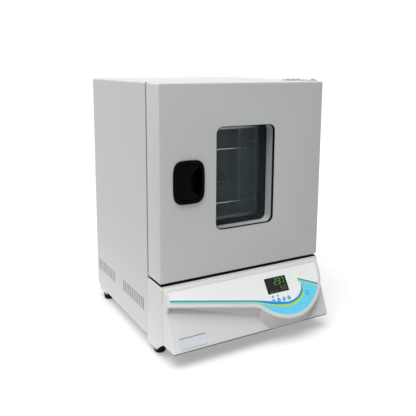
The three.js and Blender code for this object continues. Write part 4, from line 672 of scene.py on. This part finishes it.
def curve_through(rows, steps):
    """A smooth curve through rows of equal length, by the Catmull-Rom rule."""
    ends = [rows[0], *rows, rows[-1]]
    out = []
    for i in range(len(rows) - 1):
        p0, p1, p2, p3 = (Vector(row) for row in ends[i : i + 4])
        for step in range(steps):
            t = step / steps
            a = 2 * p1
            b = (p2 - p0) * t
            c = (2 * p0 - 5 * p1 + 4 * p2 - p3) * t**2
            d = (3 * p1 - p0 - 3 * p2 + p3) * t**3
            out.append((a + b + c + d) / 2)
    out.append(Vector(rows[-1]))
    return out


def sweep_edges():
    """Upper edge, edge between blue and green, and lower edge of the swept stripe."""
    curve = [row * MM for row in curve_through(SWEEP, CURVE_STEPS)]
    spots = [Vector((row[0], row[1])) for row in curve]
    upper, middle, lower = [], [], []
    for i, row in enumerate(curve):
        ahead = spots[min(i + 1, len(spots) - 1)]
        behind = spots[max(i - 1, 0)]
        along = (ahead - behind).normalized()
        out = Vector((along.y, -along.x))
        upper.append(spots[i])
        middle.append(spots[i] + out * row[2])
        lower.append(spots[i] + out * (row[2] + row[3]))
    return upper, middle, lower


def rim_path(inset, start_inset, start_x, end_angle):
    """Points inside the panel's lower rim, from a place on the left to an angle of the bulge."""
    tilt = math.atan(PANEL_LINE_SLOPE)
    along = Vector((math.cos(tilt), -math.sin(tilt)))
    below = Vector((-math.sin(tilt), -math.cos(tilt)))
    corner = Vector((PANEL_LEFT, -PANEL_CORNER_DROP))
    first = corner - below * start_inset + along * (start_x - PANEL_LEFT) / along.x
    corner = corner - below * inset
    centre = Vector((BULGE_X, -BULGE_DROP))
    fillet = BULGE_FILLET + inset
    radius = BULGE_RADIUS - inset
    track = corner + below * fillet - centre
    half = track.dot(along)
    run = -half - math.sqrt(half**2 - track.length_squared + (radius + fillet) ** 2)
    line_end = corner + along * run
    pivot = line_end + below * fillet
    line_angle = math.atan2(-below.y, -below.x)
    to_pivot = pivot - centre
    join = math.atan2(to_pivot.y, to_pivot.x)
    hollow = join + math.pi - line_angle
    hollow = math.atan2(math.sin(hollow), math.cos(hollow))
    points = [first, line_end]
    for step in range(1, FILLET_STEPS):
        angle = line_angle + hollow * step / FILLET_STEPS
        points.append(pivot + fillet * Vector((math.cos(angle), math.sin(angle))))
    for step in range(ARC_STEPS + 1):
        angle = join + (end_angle - join) * step / ARC_STEPS
        points.append(centre + radius * Vector((math.cos(angle), math.sin(angle))))
    return points


def cross_line(drop):
    """Two ends of a line that crosses the bulge, from its left start to the rim."""
    start = Vector((CROSS_START, CROSS_TOP - drop))
    along = Vector((1, CROSS_SLOPE)).normalized()
    centre = Vector((BULGE_X, -BULGE_DROP))
    radius = BULGE_RADIUS - RIM_CYAN
    offset = start - centre
    half = offset.dot(along)
    run = -half + math.sqrt(half**2 - offset.length_squared + radius**2)
    return start, start + along * run


def print_ribbon(name, material, inner, outer):
    bm = bmesh.new()
    add_ribbon(bm, inner, outer, 0, PRINT_THICKNESS, PANEL)
    return piece_from(name, bm, "cabinet", "overlay", material)


def print_area(name, material, outline):
    bm = bmesh.new()
    add_prism(bm, outline, 0, PRINT_THICKNESS, PANEL)
    return piece_from(name, bm, "cabinet", "overlay", material)


PRINT_BLUE = printed("print_blue", "1096E4")
PRINT_GREEN = printed("print_green", "B9E01E")
PRINT_CYAN = printed("print_cyan", "6AD6F8")


def stripes():
    upper, middle, lower = sweep_edges()
    print_ribbon("stripe_blue", PRINT_BLUE, upper, middle)
    print_ribbon("stripe_green", PRINT_GREEN, middle, lower)
    blue_start, blue_end = cross_line(0)
    green_start, green_end = cross_line(CROSS_BLUE)
    low_start, low_end = cross_line(CROSS_BLUE + CROSS_GREEN)
    print_ribbon("cross_blue", PRINT_BLUE, [blue_start, blue_end], [green_start, green_end])
    print_ribbon("cross_green", PRINT_GREEN, [green_start, green_end], [low_start, low_end])
    to_low_end = low_end - Vector((BULGE_X, -BULGE_DROP))
    end_angle = math.atan2(to_low_end.y, to_low_end.x)
    rim = rim_path(RIM_CYAN, RIM_CYAN_LEFT, lower[0].x, end_angle)
    print_area("band_cyan", PRINT_CYAN, [*lower, low_start, *reversed(rim)])


stripes()


# Key symbols: a blue ring with a light middle and a plain sign in it

KEY_NAMES = ["key_menu", "key_down", "key_up", "key_start"]
KEY_FIRST_X = 0.0523
KEY_PITCH = 0.0151
KEY_DROP = 0.085
KEY_TOP = 0.0008
KEY_RING = 0.0043
KEY_RING_WIDTH = 0.0016
KEY_SURROUND_INNER = 0.0048
KEY_SURROUND_OUTER = 0.0053
POWER_X = 0.1547
POWER_DROP = 0.0827
POWER_RING = 0.0059
POWER_RING_WIDTH = 0.0019
PRINT_LIGHT_BLUE = printed("print_light_blue", "8CC8F6")
PRINT_DEEP_BLUE = printed("print_deep_blue", "3C97D8")


def add_ring(bm, x, y, outer, inner, low, high, place):
    """A flat closed ring."""
    rows = []
    for radius in (inner, outer):
        for level in (low, high):
            ring = circle_points(x, y, radius)
            rows.append([bm.verts.new(place @ Vector((a, b, level))) for a, b in ring])
    inner_low, inner_high, outer_low, outer_high = rows
    for i in range(RING_STEPS):
        j = (i + 1) % RING_STEPS
        bm.faces.new((inner_low[i], inner_low[j], outer_low[j], outer_low[i]))
        bm.faces.new((inner_high[i], outer_high[i], outer_high[j], inner_high[j]))
        bm.faces.new((inner_low[i], inner_high[i], inner_high[j], inner_low[j]))
        bm.faces.new((outer_low[i], outer_low[j], outer_high[j], outer_high[i]))


SIGN = 0.0016
SIGN_SHARES = {
    "key_menu": [
        [(-1, 0.25), (1, 0.25), (1, 0.75), (-1, 0.75)],
        [(-1, -0.75), (1, -0.75), (1, -0.25), (-1, -0.25)],
    ],
    "key_down": [[(-1, 0.6), (0, -1), (1, 0.6)]],
    "key_up": [[(-1, -0.6), (1, -0.6), (0, 1)]],
    "key_start": [[(-0.7, -1), (1, 0), (-0.7, 1)]],
}


def key_print(node, body, x, drop, outer, width, ring_paint, middle_paint):
    top = KEY_TOP + PRINT_THICKNESS
    bm = bmesh.new()
    add_ring(bm, x, -drop, outer, outer - width, KEY_TOP, top, PANEL)
    piece_from(node + "_ring", bm, body, "overlay", ring_paint)
    bm = bmesh.new()
    add_prism(bm, circle_points(x, -drop, outer - width), KEY_TOP, top, PANEL)
    piece_from(node + "_middle", bm, body, "overlay", middle_paint)
    bm = bmesh.new()
    for outline in SIGN_SHARES.get(node, []):
        points = [(x + a * SIGN, b * SIGN - drop) for a, b in outline]
        add_prism(bm, points, top, top + PRINT_THICKNESS, PANEL)
    if SIGN_SHARES.get(node):
        piece_from(node + "_sign", bm, body, "overlay", ring_paint)
    else:
        bm.free()


for index, node in enumerate(KEY_NAMES):
    key_print(
        node,
        node.replace("key_", "") + "_key",
        KEY_FIRST_X + index * KEY_PITCH,
        KEY_DROP,
        KEY_RING,
        KEY_RING_WIDTH,
        PRINT_BLUE,
        PRINT_LIGHT_BLUE,
    )
key_print(
    "key_power",
    "power_key",
    POWER_X,
    POWER_DROP,
    POWER_RING,
    POWER_RING_WIDTH,
    PRINT_DEEP_BLUE,
    PRINT_CYAN,
)


# Small round marks over the first two keys

MARKED_KEYS = 2
MARK_DROP = 0.0745
MARK_SHIFT = 0.0007
MARK_OUTER = 0.0030
MARK_INNER = 0.0009


def small_marks():
    bm = bmesh.new()
    for index in range(MARKED_KEYS):
        x = KEY_FIRST_X + index * KEY_PITCH + MARK_SHIFT
        add_ring(bm, x, -MARK_DROP, MARK_OUTER, MARK_INNER, 0, PRINT_THICKNESS, PANEL)
    piece_from("key_marks", bm, "cabinet", "overlay", PRINT_BLUE)


def key_surrounds():
    bm = bmesh.new()
    for index in range(len(KEY_NAMES)):
        x = KEY_FIRST_X + index * KEY_PITCH
        outer, inner = KEY_SURROUND_OUTER, KEY_SURROUND_INNER
        add_ring(bm, x, -KEY_DROP, outer, inner, 0, PRINT_THICKNESS, PANEL)
    piece_from("key_surrounds", bm, "cabinet", "overlay", PRINT_BLUE)


small_marks()
key_surrounds()


# Display figures

SEGMENTS = {
    "0": "abcdef",
    "1": "bc",
    "2": "abged",
    "3": "abgcd",
    "4": "fgbc",
    "5": "afgcd",
    "6": "afgedc",
    "7": "abc",
    "8": "abcdefg",
    "9": "abcdfg",
    "-": "g",
}
FIGURE_LEAN_SHARE = 0.2
FIGURE_GAP_SHARE = 0.3


def add_segment(bm, start, end, width, level):
    """One bar of a seven-bar figure, with pointed ends."""
    a, b = Vector(start), Vector(end)
    along = (b - a).normalized()
    side = Vector((-along.y, along.x)) * width / 2
    tip = along * width / 2
    outline = [a, a + tip + side, b - tip + side, b, b - tip - side, a + tip - side]
    add_prism(bm, [tuple(p) for p in outline], level, level + PRINT_THICKNESS, PANEL)


def add_figure(bm, figure, left, base, height, width, bar, level):
    def at(x, y):
        return (left + x * width + y * height * FIGURE_LEAN_SHARE, base + y * height)

    ends = {
        "a": (at(0, 1), at(1, 1)),
        "b": (at(1, 1), at(1, 0.5)),
        "c": (at(1, 0.5), at(1, 0)),
        "d": (at(1, 0), at(0, 0)),
        "e": (at(0, 0), at(0, 0.5)),
        "f": (at(0, 0.5), at(0, 1)),
        "g": (at(0, 0.5), at(1, 0.5)),
    }
    for key in SEGMENTS[figure]:
        start, end = (Vector(p) for p in ends[key])
        gap = (end - start).normalized() * bar * FIGURE_GAP_SHARE
        add_segment(bm, start + gap, end - gap, bar, level)


def figures(name, text, left, base, height, width, pitch, bar, material):
    bm = bmesh.new()
    for index, figure in enumerate(text):
        if figure in SEGMENTS:
            add_figure(bm, figure, left + index * pitch, base, height, width, bar, PRINT_THICKNESS)
    return piece_from(name, bm, "cabinet", "led_yellow", material)


# Each row by its text, left, base, height, width, pitch and bar width in millimetres
FIGURE_ROWS = {
    "display_value": ("237", 68.8, -47.4, 14.2, 6.8, 10.6, 1.9),
    "display_setting": ("50", 82.6, -62.6, 10.0, 5.8, 10.2, 1.3),
    "display_row": ("120 045", 47.8, -65.2, 3.0, 2.4, 3.9, 0.9),
    "display_mark": ("-", 53.5, -35.8, 3.0, 2.6, 3.0, 1.2),
}
FIGURE_PAINTS = {
    "display_value": glowing("figures_bright", "4E9A2C", 0.18),
    "display_setting": glowing("figures_dim", "5E6622", 0.2),
    "display_row": glowing("figures_row", "566A22", 0.2),
    "display_mark": glowing("figures_faint", "3A4A22", 0.15),
}
for name, (text, *sizes) in FIGURE_ROWS.items():
    figures(name, text, *[size * MM for size in sizes], FIGURE_PAINTS[name])


# Floor, light and camera

FLOOR_SIZE = 40.0
FLOOR_SHADE_SEEN = 0.52
FLOOR_SHADE_BOUNCED = 0.15
FLOOR_GLOW_SEEN = 0.52
FLOOR_GLOW_BOUNCED = 0.30
FLOOR_GLOW_BESIDE = 1.0
BESIDE_X = 0.31
BESIDE_HALF = 0.07
BESIDE_FADE = 0.06
# Painted contact shadow on the floor: its glow is dimmed by occlusion near the oven
PAINTED_SHADOW_REACH = 0.08
PAINTED_SHADOW_SAMPLES = 16
FLOOR_GLOW_PAINTED_SHADOW = 0.27
AMBIENT = 0.12
LAMP_SPREAD = math.radians(50)
# Each lamp by the turn of its place about z, its height angle and its strength
LAMP_TURNS = {
    "lamp_high": (math.radians(-150), math.radians(75), 2.7),
    "lamp_left": (math.radians(-154), math.radians(48), 0.76),
}


def seen_by_eye(tree):
    """One for camera, glossy and transmission rays, so that metal and glass show the backdrop too."""
    path = tree.nodes.new("ShaderNodeLightPath")
    either = tree.nodes.new("ShaderNodeMath")
    either.operation = "MAXIMUM"
    any_of = tree.nodes.new("ShaderNodeMath")
    any_of.operation = "MAXIMUM"
    tree.links.new(path.outputs["Is Camera Ray"], either.inputs[0])
    tree.links.new(path.outputs["Is Glossy Ray"], either.inputs[1])
    tree.links.new(either.outputs["Value"], any_of.inputs[0])
    tree.links.new(path.outputs["Is Transmission Ray"], any_of.inputs[1])
    return any_of.outputs["Value"]


def eye_or_bounce(tree, seen, bounced):
    """One value for rays that the eye or a mirror sends, another for light that bounces."""
    choice = tree.nodes.new("ShaderNodeMapRange")
    for socket, value in (("To Min", bounced), ("To Max", seen)):
        if isinstance(value, (int, float)):
            choice.inputs[socket].default_value = value
        else:
            tree.links.new(value, choice.inputs[socket])
    tree.links.new(seen_by_eye(tree), choice.inputs["Value"])
    return choice.outputs["Result"]


def glow_with_painted_contact_shadow(tree):
    """The floor's own light, dimmed close to what stands over it: a painted soft shadow."""
    occlusion = tree.nodes.new("ShaderNodeAmbientOcclusion")
    occlusion.samples = PAINTED_SHADOW_SAMPLES
    occlusion.inputs["Distance"].default_value = PAINTED_SHADOW_REACH
    spread = tree.nodes.new("ShaderNodeMapRange")
    spread.inputs["To Min"].default_value = FLOOR_GLOW_PAINTED_SHADOW
    spread.inputs["To Max"].default_value = FLOOR_GLOW_SEEN
    tree.links.new(occlusion.outputs["AO"], spread.inputs["Value"])
    return spread.outputs["Result"]


def side_glow(tree):
    """The light that the floor throws back, stronger in a band beside the oven's left side."""
    place = tree.nodes.new("ShaderNodeTexCoord")
    parts = tree.nodes.new("ShaderNodeSeparateXYZ")
    tree.links.new(place.outputs["Object"], parts.inputs["Vector"])
    shifted = tree.nodes.new("ShaderNodeMath")
    shifted.operation = "ADD"
    shifted.inputs[1].default_value = BESIDE_X
    tree.links.new(parts.outputs["X"], shifted.inputs[0])
    away = tree.nodes.new("ShaderNodeMath")
    away.operation = "ABSOLUTE"
    tree.links.new(shifted.outputs["Value"], away.inputs[0])
    spread = tree.nodes.new("ShaderNodeMapRange")
    spread.inputs["From Min"].default_value = BESIDE_HALF
    spread.inputs["From Max"].default_value = BESIDE_HALF + BESIDE_FADE
    spread.inputs["To Min"].default_value = FLOOR_GLOW_BESIDE
    spread.inputs["To Max"].default_value = FLOOR_GLOW_BOUNCED
    tree.links.new(away.outputs["Value"], spread.inputs["Value"])
    return spread.outputs["Result"]


def make_floor():
    mesh = bpy.data.meshes.new("floor")
    half = FLOOR_SIZE / 2
    corners = [(-half, -half, 0), (half, -half, 0), (half, half, 0), (-half, half, 0)]
    mesh.from_pydata(corners, [], [(0, 1, 2, 3)])
    floor = bpy.data.objects.new("floor", mesh)
    bpy.context.scene.collection.objects.link(floor)
    material = bpy.data.materials.new("floor")
    material.use_nodes = True
    tree = material.node_tree
    tree.nodes.clear()
    output = tree.nodes.new("ShaderNodeOutputMaterial")
    diffuse = tree.nodes.new("ShaderNodeBsdfDiffuse")
    glow = tree.nodes.new("ShaderNodeEmission")
    shade = eye_or_bounce(tree, FLOOR_SHADE_SEEN, FLOOR_SHADE_BOUNCED)
    strength = eye_or_bounce(tree, glow_with_painted_contact_shadow(tree), side_glow(tree))
    total = tree.nodes.new("ShaderNodeAddShader")
    tree.links.new(shade, diffuse.inputs["Color"])
    tree.links.new(strength, glow.inputs["Strength"])
    tree.links.new(diffuse.outputs["BSDF"], total.inputs[0])
    tree.links.new(glow.outputs["Emission"], total.inputs[1])
    tree.links.new(total.outputs["Shader"], output.inputs["Surface"])
    mesh.materials.append(material)


def make_world():
    world = bpy.data.worlds.new("studio")
    bpy.context.scene.world = world
    world.use_nodes = True
    tree = world.node_tree
    tree.nodes.clear()
    output = tree.nodes.new("ShaderNodeOutputWorld")
    background = tree.nodes.new("ShaderNodeBackground")
    background.inputs["Color"].default_value = (1, 1, 1, 1)
    tree.links.new(eye_or_bounce(tree, 1, AMBIENT), background.inputs["Strength"])
    tree.links.new(background.outputs["Background"], output.inputs["Surface"])


def make_lamp(name, turn, height, strength):
    data = bpy.data.lights.new(name, "SUN")
    data.energy = strength
    data.angle = LAMP_SPREAD
    lamp = bpy.data.objects.new(name, data)
    level = math.cos(height)
    place = Vector((math.cos(turn) * level, math.sin(turn) * level, math.sin(height)))
    lamp.rotation_euler = place.to_track_quat("Z", "Y").to_euler()
    bpy.context.scene.collection.objects.link(lamp)


def make_camera():
    data = bpy.data.cameras.new("camera")
    data.lens = CAMERA_LENS
    data.shift_y = CAMERA_SHIFT
    camera = bpy.data.objects.new("camera", data)
    forward = Vector(
        (
            math.sin(CAMERA_YAW) * math.cos(CAMERA_PITCH),
            math.cos(CAMERA_YAW) * math.cos(CAMERA_PITCH),
            -math.sin(CAMERA_PITCH),
        )
    )
    right = forward.cross(Vector((0, 0, 1))).normalized()
    up = right.cross(forward)
    turn = Matrix((right, up, -forward)).transposed().to_4x4()
    roll = Matrix.Rotation(CAMERA_ROLL, 4, "Z")
    camera.matrix_world = Matrix.Translation(CAMERA_PLACE) @ turn @ roll
    bpy.context.scene.collection.objects.link(camera)
    bpy.context.scene.camera = camera


make_floor()
make_world()
for name, (turn, height, strength) in LAMP_TURNS.items():
    make_lamp(name, turn, height, strength)
make_camera()
bpy.context.scene.view_settings.view_transform = "Standard"
